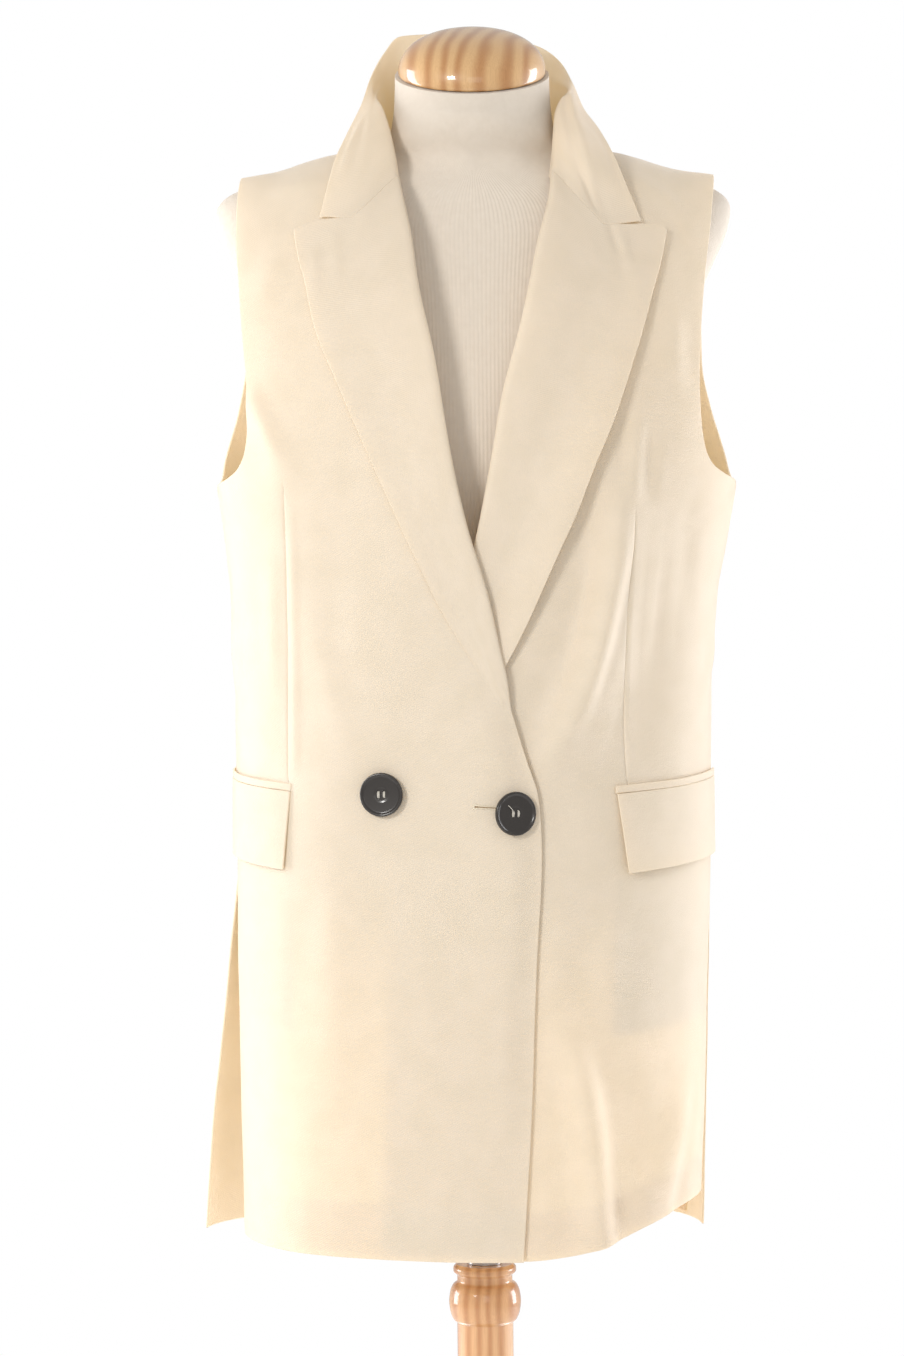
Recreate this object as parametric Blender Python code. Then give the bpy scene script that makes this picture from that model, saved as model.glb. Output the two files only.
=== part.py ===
"""A longline double-breasted tailored vest on a dress form and its turned wooden stand.

Metres, +Z up, the garment's front faces -Y, and the origin is the middle of the base on the floor.
"Right" and "left" in the names are the wearer's. The right front, on the -X side, lies on top.
Every cloth piece is a wall of even thickness on one shared garment surface, moved out by its layer.
"""

import bmesh
import bpy
import numpy as np

# ---- Driving sizes ----
MM = 0.001
CLOTH = 0.0016  # cloth, interlining and lining together
SEAM = 0.0005  # gap kept along every seam
LAYER_GAP = 0.0010  # gap between layers that lie on each other
GIRTH_POWER = 2.4  # squareness of the garment's horizontal sections

CHEST_Z = 1.220  # above this height the cloth starts to turn over the shoulder
SHOULDER_Y = 0.004  # depth at which the shoulder seams run
HEM_Z = 0.5515

BUTTON_R = 0.016
BUTTON_T = 0.0042
FLAP_DROP = 0.058
WELT_HEIGHT = 0.0055

CAP_R = 0.0566
CAP_RISE = 0.0318
CAP_TILT = np.radians(24.8)
CAP_Z = 1.439
FORM_BOTTOM_Z = 0.738
GIRTH_R = 0.13  # roughly, where a girth angle is worked out from a length
SEAM_END_X = 0.088  # where the shoulder seams and the two necklines meet, beside the neck

TUBE_R = 0.0135
BASE_R = 0.160
BASE_T = 0.028
POLE_TOP_Z = 0.5245


class Table:
    """Smooth curves through a short table. Each column is read by its name, against the first one."""

    def __init__(self, columns, rows):
        self.columns = columns.split()
        order = sorted(rows)
        self.rows = np.array(order, float)

    def __call__(self, column, where):
        at = self.rows[:, 0]
        values = self.rows[:, self.columns.index(column)]
        return hermite(at, values, where)


def hermite(at, values, where):
    """Monotone cubic through (at, values), so that it never swings past its own points."""
    step = np.diff(at)
    rise = np.diff(values) / step
    slope = np.zeros_like(values)
    same_way = rise[:-1] * rise[1:] > 0
    before = 2 * step[1:] + step[:-1]
    after = step[1:] + 2 * step[:-1]
    with np.errstate(divide="ignore", invalid="ignore"):
        mean = (before + after) / (before / rise[:-1] + after / rise[1:])
    slope[1:-1] = np.where(same_way, mean, 0)
    slope[0], slope[-1] = rise[0], rise[-1]
    where = np.clip(where, at[0], at[-1])
    left = np.clip(np.searchsorted(at, where, side="right") - 1, 0, len(step) - 1)
    t = (where - at[left]) / step[left]
    h = step[left]
    a, b = values[left], values[left + 1]
    return (
        a * (1 + 2 * t) * (1 - t) ** 2
        + b * t * t * (3 - 2 * t)
        + h * t * (1 - t) * (slope[left] * (1 - t) - slope[left + 1] * t)
    )


def ease(value, start, end):
    """0 before start and 1 after end, turning smoothly between."""
    t = np.clip((value - start) / (end - start), 0, 1)
    return t * t * (3 - 2 * t)


# ---- The garment's surface ----
GARMENT = Table(
    "z half_width front back shift",
    [
        (1.400, 0.2020, 0.104, 0.104, 0.000),
        (1.300, 0.2060, 0.112, 0.108, 0.000),
        (1.250, 0.2070, 0.120, 0.110, 0.000),
        (1.200, 0.2050, 0.128, 0.111, 0.000),
        (1.130, 0.1990, 0.136, 0.110, 0.000),
        (1.080, 0.1910, 0.135, 0.107, -0.001),
        (1.035, 0.1845, 0.134, 0.104, -0.003),
        (0.975, 0.1810, 0.132, 0.102, -0.004),
        (0.850, 0.1795, 0.132, 0.108, -0.005),
        (0.700, 0.1770, 0.131, 0.116, -0.007),
        (0.540, 0.1730, 0.130, 0.121, -0.009),
    ],
)
# Height of the crest that the cloth turns over, before and behind it, outwards from the neck.
CREST = Table(
    "x front back",
    [
        (0.000, 1.4600, 1.4440),
        (0.030, 1.4050, 1.4380),
        (0.050, 1.3735, 1.4260),
        (0.066, 1.3730, 1.4100),
        (0.088, 1.3790, 1.3790),
        (0.106, 1.3770, 1.3770),
        (0.125, 1.3725, 1.3725),
        (0.155, 1.3635, 1.3635),
        (0.185, 1.3590, 1.3590),
        (0.215, 1.3560, 1.3560),
    ],
)
BACK_NECK = Table("x z", [(0.0, 1.3900), (0.040, 1.3880), (0.075, 1.3825), (0.088, 1.3790)])

# Large soft folds: a ridge (height above 0) or trough from one point to another on a front.
FOLDS = (
    # (x0, z0, x1, z1, width, height)
    # left front: from the dart's top towards the fastened button
    (0.108, 1.105, 0.046, 0.905, 0.016, 0.0045),
    (0.090, 1.060, 0.030, 0.900, 0.018, -0.0030),
    # left front: the ridges that run down to the raised hem
    (0.064, 0.720, 0.086, 0.560, 0.013, 0.0060),
    (0.148, 0.660, 0.112, 0.570, 0.014, 0.0050),
    (0.105, 0.680, 0.108, 0.560, 0.014, -0.0040),
    # right front: from the armhole towards the waist dart
    (-0.172, 1.190, -0.140, 1.120, 0.014, 0.0035),
)


def superellipse(angle, half_width, front, back):
    s, c = np.sin(angle), np.cos(angle)
    power = 2 / GIRTH_POWER
    depth = np.where(c > 0, front, back)
    x = half_width * np.sign(s) * np.abs(s) ** power
    return x, -depth * np.sign(c) * np.abs(c) ** power


def angle_at(x, z):
    """Girth angle on the front half of the garment, 0 at the middle, for a point seen at x."""
    share = (x - GARMENT("shift", z)) / GARMENT("half_width", z)
    share = np.clip(share, -1, 1)
    return np.sign(share) * np.arcsin(np.abs(share) ** (GIRTH_POWER / 2))


def crest_z(x, behind):
    return np.where(behind, CREST("back", np.abs(x)), CREST("front", np.abs(x)))


def fold_height(x, z):
    total = np.zeros_like(x)
    for x0, z0, x1, z1, width, height in FOLDS:
        run = np.array([x1 - x0, z1 - z0])
        t = ((x - x0) * run[0] + (z - z0) * run[1]) / (run @ run)
        away = np.hypot(x - x0 - np.clip(t, 0, 1) * run[0], z - z0 - np.clip(t, 0, 1) * run[1])
        ends = ease(t, -0.15, 0.25) * (1 - ease(t, 0.8, 1.2))
        total = total + height * np.exp(-((away / width) ** 2)) * ends
    return total


def garment(angle, z):
    """Points of the garment's inner surface at a girth angle (0 front, pi/2 at +X, pi back) and height."""
    angle, z = np.broadcast_arrays(np.asarray(angle, float), np.asarray(z, float))
    x, y = superellipse(
        angle, GARMENT("half_width", z), GARMENT("front", z), GARMENT("back", z)
    )
    x = x + GARMENT("shift", z)
    top = crest_z(x, y > 0)
    lift = np.clip((z - CHEST_Z) / (top - CHEST_Z), 0, 1)
    y = y * np.sqrt(1 - lift**2)
    y = y - np.where(y < 0, fold_height(x, z), 0)
    return np.stack([x, y + SHOULDER_Y * ease(z, 1.25, 1.36), z], axis=-1)


def on_front(x, z):
    return garment(angle_at(x, z), z)


# ---- Grids and walls ----
def normals(points, outward):
    """Unit normals of a grid of points, on the side that `outward` points to."""
    along = np.gradient(points, axis=0)
    across = np.gradient(points, axis=1)
    found = np.cross(along, across)
    found /= np.maximum(np.linalg.norm(found, axis=-1, keepdims=True), 1e-12)
    if np.sum(found * outward) < 0:
        found = -found
    return found


def from_axis(points):
    away = points.copy()
    away[..., 2] = 0
    return away


def add_object(name, vertices, faces, material):
    mesh = bpy.data.meshes.new(name)
    mesh.from_pydata([tuple(v) for v in vertices], [], [tuple(f) for f in faces])
    work = bmesh.new()
    work.from_mesh(mesh)
    bmesh.ops.recalc_face_normals(work, faces=work.faces)
    work.to_mesh(mesh)
    work.free()
    mesh.shade_smooth()
    mesh.set_sharp_from_angle(angle=np.radians(50))
    mesh.materials.append(material)
    piece = bpy.data.objects.new(name, mesh)
    bpy.context.scene.collection.objects.link(piece)
    return piece


def grid_faces(rows, columns, start):
    index = start + np.arange(rows * columns).reshape(rows, columns)
    return np.stack([index[:-1, :-1], index[:-1, 1:], index[1:, 1:], index[1:, :-1]], -1)


def wall_object(name, inner, outer, material):
    """A closed wall between two grids of the same shape, with its four edges filled."""
    rows, columns = inner.shape[:2]
    count = rows * columns
    index = np.arange(count).reshape(rows, columns)
    rim = np.concatenate(
        [index[0, :-1], index[:-1, -1], index[-1, :0:-1], index[:0:-1, 0]]
    )
    after = np.roll(rim, -1)
    inside = grid_faces(rows, columns, 0).reshape(-1, 4)
    outside = grid_faces(rows, columns, count).reshape(-1, 4)[:, ::-1]
    edge = np.stack([rim, after, after + count, rim + count], -1)[:, ::-1]
    vertices = np.concatenate([inner.reshape(-1, 3), outer.reshape(-1, 3)])
    return add_object(name, vertices, np.concatenate([inside, outside, edge]), material)


def cloth_wall(name, points, out, material, outward=None):
    """A cloth wall whose inner side stands `out` above a grid of points."""
    up = normals(points, from_axis(points) if outward is None else outward)
    out = np.asarray(out, float)
    if out.ndim:
        out = out[..., None]
    return wall_object(name, points + up * out, points + up * (out + CLOTH), material)


def lengths(points):
    """Distance along a curve to each of its points."""
    return np.concatenate([[0], np.cumsum(np.linalg.norm(np.diff(points, axis=0), axis=1))])


def points_at(values, length, at):
    return np.stack([np.interp(at, length, values[:, k]) for k in range(values.shape[1])], -1)


def resample(points, count):
    """The same curve with evenly spaced points."""
    length = lengths(points)
    return points_at(points, length, np.linspace(0, length[-1], count))


FINE = 90  # samples along a row before its points are spaced evenly
ROW_START_Z = 1.370  # first guess of a row's height over the shoulder, and the rounds that settle it
ROW_ROUNDS = 40
CREST_TURN = 89.65  # degrees turned at the shoulder seam: the two panels stop just short of each other


def turn_rows(steps):
    """Share of the height between the chest and the crest, for each row over the shoulder."""
    return np.sin(np.radians(np.linspace(CREST_TURN, 0, steps, endpoint=False)))


def shoulder_row(turn, angle_from, angle_to, top_of, columns):
    """One row across a panel above the chest, at an even share of the way up to its top edge."""
    share = np.linspace(0, 1, FINE)
    z = np.full(FINE, ROW_START_Z)
    for _ in range(ROW_ROUNDS):
        angle = angle_from(z) * (1 - share) + angle_to(z) * share
        x = garment(angle, z)[:, 0]
        z = 0.5 * z + 0.5 * (CHEST_Z + (top_of(x) - CHEST_Z) * turn)
    return spaced_row(angle, z, columns)


def level_row(z, angle_start, angle_end, columns):
    """One row across a panel through given heights."""
    share = np.linspace(0, 1, FINE)
    return spaced_row(angle_start * (1 - share) + angle_end * share, z, columns)


def spaced_row(angle, z, columns):
    length = lengths(garment(angle, z))
    at = np.linspace(0, length[-1], columns)
    return points_at(np.column_stack([angle, z]), length, at)


HEM_BEND_Z = 0.680  # the rows below this height bend towards the hem line


def hem_drop(x, z):
    """Moves the lowest rows of a front so that the last one follows the hem line."""
    return z + (FRONT_HEM("z", x) - HEM_Z) * ease(z, HEM_BEND_Z, HEM_Z)


# ---- Fronts ----
# The edge that faces the opening: the roll line down to the break, then the free front edge.
RIGHT_EDGE = Table(
    "z x",
    [
        (1.3790, -0.0880),
        (1.3680, -0.0720),
        (1.3510, -0.0605),
        (1.3300, -0.0565),
        (1.2990, -0.0515),
        (1.2630, -0.0470),
        (1.2040, -0.0350),
        (1.1470, -0.0260),
        (1.0850, -0.0125),
        (1.0330, 0.0025),
        (0.9800, 0.0145),
        (0.9330, 0.0265),
        (0.8900, 0.0405),
        (0.8480, 0.0430),
        (0.7580, 0.0385),
        (0.6560, 0.0340),
        (0.5500, 0.0270),
    ],
)
LEFT_EDGE = Table(
    "z x",
    [
        (1.3790, 0.0880),
        (1.3740, 0.0740),
        (1.3620, 0.0615),
        (1.3330, 0.0595),
        (1.2880, 0.0500),
        (1.2350, 0.0385),
        (1.1740, 0.0220),
        (1.1400, 0.0155),
        (1.0710, 0.0005),
        (1.0000, -0.0190),
        (0.9300, -0.0430),
        (0.8860, -0.0600),
        (0.8400, -0.0660),
        (0.7000, -0.0700),
        (0.5500, -0.0740),
    ],
)
# Front and back armhole edges: distance out from the middle, as seen from the front.
ARMHOLE = Table(
    "z right_front left_front right_back left_back",
    [
        (1.3600, 0.1780, 0.1850, 0.1780, 0.1850),
        (1.3350, 0.1790, 0.1805, 0.1790, 0.1820),
        (1.3060, 0.1785, 0.1760, 0.1785, 0.1795),
        (1.2760, 0.1765, 0.1712, 0.1790, 0.1790),
        (1.2240, 0.1720, 0.1662, 0.1800, 0.1795),
        (1.1850, 0.1690, 0.1645, 0.1860, 0.1860),
        (1.1600, 0.1695, 0.1655, 0.1920, 0.1920),
        (1.1450, 0.1715, 0.1680, 0.1950, 0.1950),
        (1.1330, 0.1770, 0.1740, 0.1965, 0.1965),
        (1.1260, 0.1870, 0.1855, 0.1980, 0.1980),
        (1.1230, 0.1985, 0.1985, 0.1985, 0.1985),
    ],
)
ARMHOLE_Z = 1.1230
# Girth angle of each side seam, in degrees from the front, and how far the vent's two edges part.
SIDE = Table(
    "z right left right_front left_front right_back left_back",
    [
        (1.130, 90.0, 90.0, 0.0, 0.0, 0.0, 0.0),
        (0.822, 90.0, 88.0, 0.0, 0.0, 0.0, 0.0),
        (0.780, 90.0, 87.8, 1.5, 1.5, 0.5, 1.0),
        (0.700, 90.0, 87.6, 4.0, 4.0, 2.0, 3.0),
        (0.540, 90.0, 87.5, 6.5, 8.5, 4.0, 5.0),
    ],
)
HALF_SEAM_ANGLE = 0.5 * SEAM / GIRTH_R
FRONT_HEM = Table(
    "x z",
    [
        (-0.190, 0.5540),
        (-0.100, 0.5530),
        (0.030, 0.5500),
        (0.062, 0.5525),
        (0.086, 0.5575),
        (0.127, 0.5730),
        (0.160, 0.5840),
        (0.185, 0.5860),
    ],
)
# Heights of each row below the chest, at the opening's edge (or the middle back) and at the side.
ROW_HEIGHTS = (
    # (inner, side)
    (1.220, 1.220),
    (1.185, 1.190),
    (1.150, 1.165),
    (1.118, 1.146),
    (1.092, 1.133),
    (1.068, 1.126),
    (1.046, 1.123),
    (1.022, 1.096),
    (0.996, 1.060),
    (0.968, 1.022),
    (0.938, 0.982),
    (0.908, 0.942),
    (0.876, 0.902),
    (0.844, 0.862),
    (0.810, 0.822),
    (0.772, 0.780),
    (0.735, 0.740),
    (0.697, 0.700),
    (0.660, 0.660),
    (0.622, 0.622),
    (0.586, 0.586),
    (HEM_Z, HEM_Z),
)
ROW_BEND = 1.5  # how late a row turns from its inner height to its side height
FRONT_COLUMNS = 13
# The top front climbs onto the one below between these distances outside the hidden edge.
OVERLAP_BLEND = 0.090
OVERLAP_MARGIN = 0.035
# How far the top front stands off where the other front and its lapel lie under it.
TOP_LIFT = Table(
    "z lift",
    [
        (0.54, 0.0026),
        (0.84, 0.0028),
        (0.91, 0.0060),
        (1.10, 0.0062),
        (1.25, 0.0040),
        (1.38, 0.0000),
    ],
)


def front_grid(edge, side, sign):
    """Points of a front, from the opening's edge to the armhole and side."""

    def from_edge(z):
        return angle_at(edge("x", z), z)

    def to_side(z):
        arm = np.abs(angle_at(sign * ARMHOLE(side + "_front", z), z))
        seam = np.radians(SIDE(side, z) - SIDE(side + "_front", z))
        return sign * (np.where(z > ARMHOLE_Z, arm, seam) - HALF_SEAM_ANGLE)

    def top(x):
        return crest_z(x, False)

    rows = [shoulder_row(t, from_edge, to_side, top, FRONT_COLUMNS) for t in turn_rows(8)]
    share = np.linspace(0, 1, FINE)
    for inner, outer in ROW_HEIGHTS:
        z = inner + (outer - inner) * share**ROW_BEND
        rows.append(level_row(z, from_edge(inner), to_side(outer), FRONT_COLUMNS))
    grid = np.array(rows)
    x = garment(grid[..., 0], grid[..., 1])[..., 0]
    grid[..., 1] = hem_drop(x, grid[..., 1])
    return garment(grid[..., 0], grid[..., 1])


def top_lift(points):
    """Extra height of the top front over the hidden layers, fading towards its own side seam."""
    x, z = points[..., 0], points[..., 2]
    hidden = LEFT_EDGE("x", z)
    return TOP_LIFT("lift", z) * ease(x, hidden - OVERLAP_BLEND, hidden - OVERLAP_MARGIN)


def make_fronts(cloth):
    """Builds both fronts and returns the grid that each was made from."""
    right = front_grid(RIGHT_EDGE, "right", -1)
    left = front_grid(LEFT_EDGE, "left", 1)
    cloth_wall("front_right", right, top_lift(right), cloth)
    cloth_wall("front_left", left, 0.0, cloth)
    return right, left


# ---- Back ----
BACK_COLUMNS = 24
# How far the back stands out beside each vent, by height: it swings wider on the right side.
VENT_FLARE = Table(
    "z right left",
    [
        (0.540, 0.034, 0.004),
        (0.625, 0.026, 0.003),
        (0.730, 0.012, 0.002),
        (0.830, 0.000, 0.000),
    ],
)
FLARE_REACH = np.radians(38)


def back_grid():
    def edge_angle(side, z):
        arm = np.abs(angle_at(ARMHOLE(side + "_back", z) + GARMENT("shift", z), z))
        seam = np.pi - np.radians(SIDE(side, z) + SIDE(side + "_back", z))
        return np.where(z > ARMHOLE_Z, arm, seam) - HALF_SEAM_ANGLE

    def from_left(z):
        return np.pi - edge_angle("left", z)

    def to_right(z):
        return np.pi + edge_angle("right", z)

    def top(x):
        return np.where(np.abs(x) < SEAM_END_X, BACK_NECK("z", np.abs(x)), crest_z(x, True))

    rows = [shoulder_row(t, from_left, to_right, top, BACK_COLUMNS) for t in turn_rows(8)]
    from_middle = np.abs(np.linspace(-1, 1, FINE))
    for inner, outer in ROW_HEIGHTS:
        z = inner + (outer - inner) * from_middle**ROW_BEND
        rows.append(level_row(z, from_left(outer), to_right(outer), BACK_COLUMNS))
    grid = np.array(rows)
    points = garment(grid[..., 0], grid[..., 1])
    angle, z = grid[..., 0], grid[..., 1]
    right = ease(angle, 1.5 * np.pi - FLARE_REACH, 1.5 * np.pi) * VENT_FLARE("right", z)
    left = ease(angle, 0.5 * np.pi + FLARE_REACH, 0.5 * np.pi) * VENT_FLARE("left", z)
    points = points + normals(points, from_axis(points)) * (right + left)[..., None]
    return points


def make_back(cloth):
    cloth_wall("back", back_grid(), 0.0, cloth)


# ---- Lapels ----
# Each row runs from the fold to the outer edge. The top row follows the gorge and the peak.
LAPEL_COLUMNS = "z_fold x_outer z_outer roll"
RIGHT_LAPEL = Table(
    LAPEL_COLUMNS,
    [
        (1.3500, -0.1355, 1.3110, 0.0034),
        (1.3300, -0.1310, 1.2910, 0.0036),
        (1.2990, -0.1252, 1.2690, 0.0038),
        (1.2630, -0.1175, 1.2340, 0.0038),
        (1.2040, -0.1010, 1.1910, 0.0036),
        (1.1470, -0.0790, 1.1385, 0.0032),
        (1.0850, -0.0520, 1.0770, 0.0028),
        (1.0330, -0.0285, 1.0260, 0.0024),
        (0.9800, -0.0020, 0.9800, 0.0018),
        (0.9330, 0.0225, 0.9330, 0.0013),
        (0.9120, 0.0320, 0.9120, 0.0012),
    ],
)
LEFT_LAPEL = Table(
    LAPEL_COLUMNS,
    [
        (1.3600, 0.1410, 1.3060, 0.0034),
        (1.3330, 0.1375, 1.2860, 0.0036),
        (1.2880, 0.1290, 1.2570, 0.0038),
        (1.2350, 0.1150, 1.2120, 0.0036),
        (1.1740, 0.0960, 1.1590, 0.0032),
        (1.1400, 0.0840, 1.1310, 0.0028),
        (1.0710, 0.0590, 1.0710, 0.0018),
        (1.0000, 0.0270, 1.0000, 0.0013),
        (0.9300, -0.0130, 0.9300, 0.0012),
        (0.9000, -0.0350, 0.9000, 0.0012),
    ],
)
# Corners of the top row: where the gorge ends and the notch corner, as (x, z).
RIGHT_TOP = ((-0.0890, 1.3205), (-0.1160, 1.3180))
LEFT_TOP = ((0.0940, 1.3120), (0.1275, 1.3095))
ROLL_STEPS = 5
ROLL_TURN = (-90, 60)  # degrees: from beside the front's edge, round the fold, to the lapel's upper side
ROLL_REACH = 0.75  # share of the lapel's width over which it settles on the front
ROLL_GAP = 0.0020  # between a front's edge and the lapel that turns over it
LAPEL_ACROSS = 9
TOP_ROW_REACH = 0.075  # how far below the gorge the rows still bend with it
ROW_MARGIN = 0.004  # least distance between a lapel's end rows and the rows shared with the front


def polyline(corners, shares):
    """Points at given shares of the length of a line through some corners."""
    corners = np.array(corners, float)
    length = lengths(corners)
    return points_at(corners, length, shares * length[-1])


def lapel_lines(edge, lapel, corners, heights):
    """(x, z) of a lapel's grid on the front, from the fold to the outer edge, the top row first."""
    shares = np.linspace(0, 1, LAPEL_ACROSS)
    fold = np.column_stack([edge("x", heights), heights])
    outer = np.column_stack([lapel("x_outer", heights), lapel("z_outer", heights)])
    lines = fold[:, None] + (outer - fold)[:, None] * shares[None, :, None]
    bend = polyline([fold[0], *corners, outer[0]], shares) - lines[0]
    weight = (1 - ease(heights[0] - heights, 0, TOP_ROW_REACH))[:, None, None]
    return lines + bend * weight


def lapel_points(edge, lapel, corners, front, on_top):
    """Middle surface of a lapel: it leaves the front's edge, rolls over, and lies on the front."""
    top, low = lapel.rows[-1, 0], lapel.rows[0, 0]
    edge_heights = front[:, 0, 2]
    inside = (edge_heights < top - ROW_MARGIN) & (edge_heights > low + ROW_MARGIN)
    between = edge_heights[inside]
    heights = np.concatenate([[top], between, [low]])
    lines = lapel_lines(edge, lapel, corners, heights)
    base = on_front(lines[..., 0], lines[..., 1])
    up = normals(base, np.array([0, -1.0, 0]))
    under = CLOTH / 2 + (top_lift(base) if on_top else np.zeros(base.shape[:2]))
    roll = lapel("roll", heights)
    towards = base[:, 1] - base[:, 0]
    towards /= np.linalg.norm(towards, axis=-1, keepdims=True)
    columns = []
    for angle in np.radians(np.linspace(*ROLL_TURN, ROLL_STEPS)):
        along = -ROLL_GAP - roll * np.cos(angle)
        height = under[:, 0] + roll * (1 + np.sin(angle))
        columns.append(base[:, 0] + towards * along[:, None] + up[:, 0] * height[:, None])
    rest = CLOTH + LAYER_GAP  # middle to middle, where the lapel lies on the front
    settle = 1 - ease(np.linspace(0, 1, LAPEL_ACROSS), 0, ROLL_REACH)
    height = under + rest + (2 * roll[:, None] - rest) * settle
    flat = base + up * height[..., None]
    return np.concatenate([np.stack(columns, axis=1), flat], axis=1)


def middle_wall(name, middle, outward, material):
    up = normals(middle, outward)
    wall_object(name, middle - up * CLOTH / 2, middle + up * CLOTH / 2, material)


def make_lapels(right_front, left_front, cloth):
    """Builds both lapels and returns the middle lines of each one's top two rows."""
    right = lapel_points(RIGHT_EDGE, RIGHT_LAPEL, RIGHT_TOP, right_front, True)
    left = lapel_points(LEFT_EDGE, LEFT_LAPEL, LEFT_TOP, left_front, False)
    middle_wall("lapel_right", right, np.array([0, -1.0, 0]), cloth)
    middle_wall("lapel_left", left, np.array([0, -1.0, 0]), cloth)
    return right[:2], left[:2]


# ---- Collar ----
# Stations from the right front end round the back to the left one. Each runs from the neckline (n)
# over the fold (f) and the middle of the fall (m) to the free edge (e). These are in millimetres.
COLLAR = Table(
    "at nx ny nz fx fy fz mx my mz ex ey ez",
    [
        (0.00, -60, -56, 1350, -57, -64, 1353, -87.5, -93.5, 1323.5, -115, -90, 1320),
        (0.06, -62.2, -41.5, 1360.2, -59, -56, 1368, -85, -78, 1346, -111, -80, 1337),
        (0.12, -72.2, -27.5, 1370.4, -61.5, -44, 1383, -80, -58, 1373, -104.5, -60, 1364),
        (0.18, -80.6, -11.5, 1377.7, -65.5, -30, 1399, -78, -37, 1396, -95, -35, 1390),
        (0.24, -86.5, 3, 1381.4, -70.5, -12, 1411, -76, -12, 1416, -85, -8, 1416),
        (0.30, -83.2, 17, 1382.4, -73.5, 13, 1414, -75.5, 15, 1430, -79, 20, 1441),
        (0.36, -74.8, 37.5, 1384.3, -70, 37, 1418, -69, 40, 1443, -69, 49, 1466.5),
        (0.42, -54.5, 63, 1387.9, -54, 59, 1423, -55, 63, 1454, -56, 70, 1484),
        (0.50, 0, 72, 1391.2, 0, 73.5, 1427, 0, 77, 1458, 0, 83, 1489),
        (0.58, 54.5, 63, 1387.9, 54, 60, 1421, 55.5, 65, 1448, 58, 75, 1474),
        (0.64, 74.8, 37.5, 1384.3, 70, 37, 1416, 70, 40, 1437, 72, 53, 1457),
        (0.70, 83.2, 17, 1382.4, 74, 13, 1415, 75.5, 15, 1429, 79.5, 28, 1435),
        (0.76, 86.5, 3, 1381.4, 70, -6, 1415, 75.5, -8, 1420, 85, -1, 1412),
        (0.82, 74.8, -11.5, 1376.7, 63, -24, 1403, 76.5, -34, 1398, 96, -28, 1390),
        (0.88, 64.3, -27.5, 1368.2, 61.5, -38, 1386, 79, -56, 1375, 106, -54, 1366),
        (0.94, 59, -39, 1360.6, 60.5, -48, 1374, 85, -75, 1344, 115.5, -77, 1338),
        (1.00, 62, -48, 1360, 58, -57, 1364, 92, -93, 1316.5, 124, -90, 1315),
    ],
)
COLLAR_STATIONS = 31
COLLAR_STEPS = (3, 4, 3)
# At the gorge seams, where both walls turn over the fold. The left one turns more tightly.
RIGHT_GORGE_GAP = 0.0020
LEFT_GORGE_GAP = 0.0050
NOTCH_GAP = 0.0024  # the open notch between the collar's tip and the lapel's peak
GORGE_REACH = 0.16  # share of the collar over which its front end settles on the lapel


def curve_through(corners, steps):
    """Catmull-Rom curve through four corners, with the given steps in each of its three spans."""
    ends = [2 * corners[0] - corners[1]] + list(corners) + [2 * corners[-1] - corners[-2]]
    points = [corners[0]]
    for span, count in enumerate(steps):
        p0, p1, p2, p3 = ends[span : span + 4]
        for t in np.linspace(0, 1, count + 1)[1:]:
            points.append(
                0.5
                * (
                    2 * p1
                    + (p2 - p0) * t
                    + (2 * p0 - 5 * p1 + 4 * p2 - p3) * t**2
                    + (3 * p1 - p0 - 3 * p2 + p3) * t**3
                )
            )
    return np.array(points)


def gorge_line(lapel_top, tip_x, gap):
    """The collar's front end: it follows the lapel's top edge from the fold to the collar's tip."""
    top, second = lapel_top
    reach = np.abs(top[:, 0])
    past = ROLL_STEPS + int(np.argmax(reach[ROLL_STEPS:] > tip_x))
    share = (tip_x - reach[past - 1]) / (reach[past] - reach[past - 1])
    away = top - second
    away /= np.linalg.norm(away, axis=-1, keepdims=True)
    raised = top + away * np.linspace(gap, NOTCH_GAP, len(top))[:, None]
    tip = raised[past - 1] + (raised[past] - raised[past - 1]) * share
    line = np.concatenate([raised[:past], [tip]])
    stand, middle, fall = COLLAR_STEPS
    first = resample(line[: ROLL_STEPS - 1], stand + 1)
    rest = resample(line[ROLL_STEPS - 2 :], middle + fall + 1)
    return np.concatenate([first, rest[1:]])


def collar_middle(right_top, left_top):
    places = np.linspace(0, 1, COLLAR_STATIONS)
    rows = []
    for at in places:
        corners = [np.array([COLLAR(line + axis, at) for axis in "xyz"]) * MM for line in "nfme"]
        rows.append(curve_through(corners, COLLAR_STEPS))
    rows = np.array(rows)
    for end, top, gap in ((0, right_top, RIGHT_GORGE_GAP), (-1, left_top, LEFT_GORGE_GAP)):
        exact = gorge_line(top, abs(rows[end, -1, 0]), gap)
        away = np.abs(places - places[end])
        weight = 1 - ease(away, 0, GORGE_REACH)
        rows = rows + (exact - rows[end]) * weight[:, None, None]
    return rows


def make_collar(right_top, left_top, cloth):
    middle = collar_middle(right_top, left_top)
    up = normals(middle, np.zeros(3))
    behind_neck = up[COLLAR_STATIONS // 2, 2]
    if behind_neck[1] < 0:
        up = -up
    wall_object("collar", middle - up * CLOTH / 2, middle + up * CLOTH / 2, cloth)


# ---- Pockets ----
FLAP_COLUMNS = 9
FLAP_ROWS = 5
# Where each flap's front end and side end lie, with the height of its upper edge there.
RIGHT_POCKET = dict(front_x=-0.1375, front_z=0.8985, side_angle=-100.0, side_z=0.9100, stand=0.0016)
LEFT_POCKET = dict(front_x=0.0975, front_z=0.8945, side_angle=82.0, side_z=0.9050, stand=0.0040)


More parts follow.
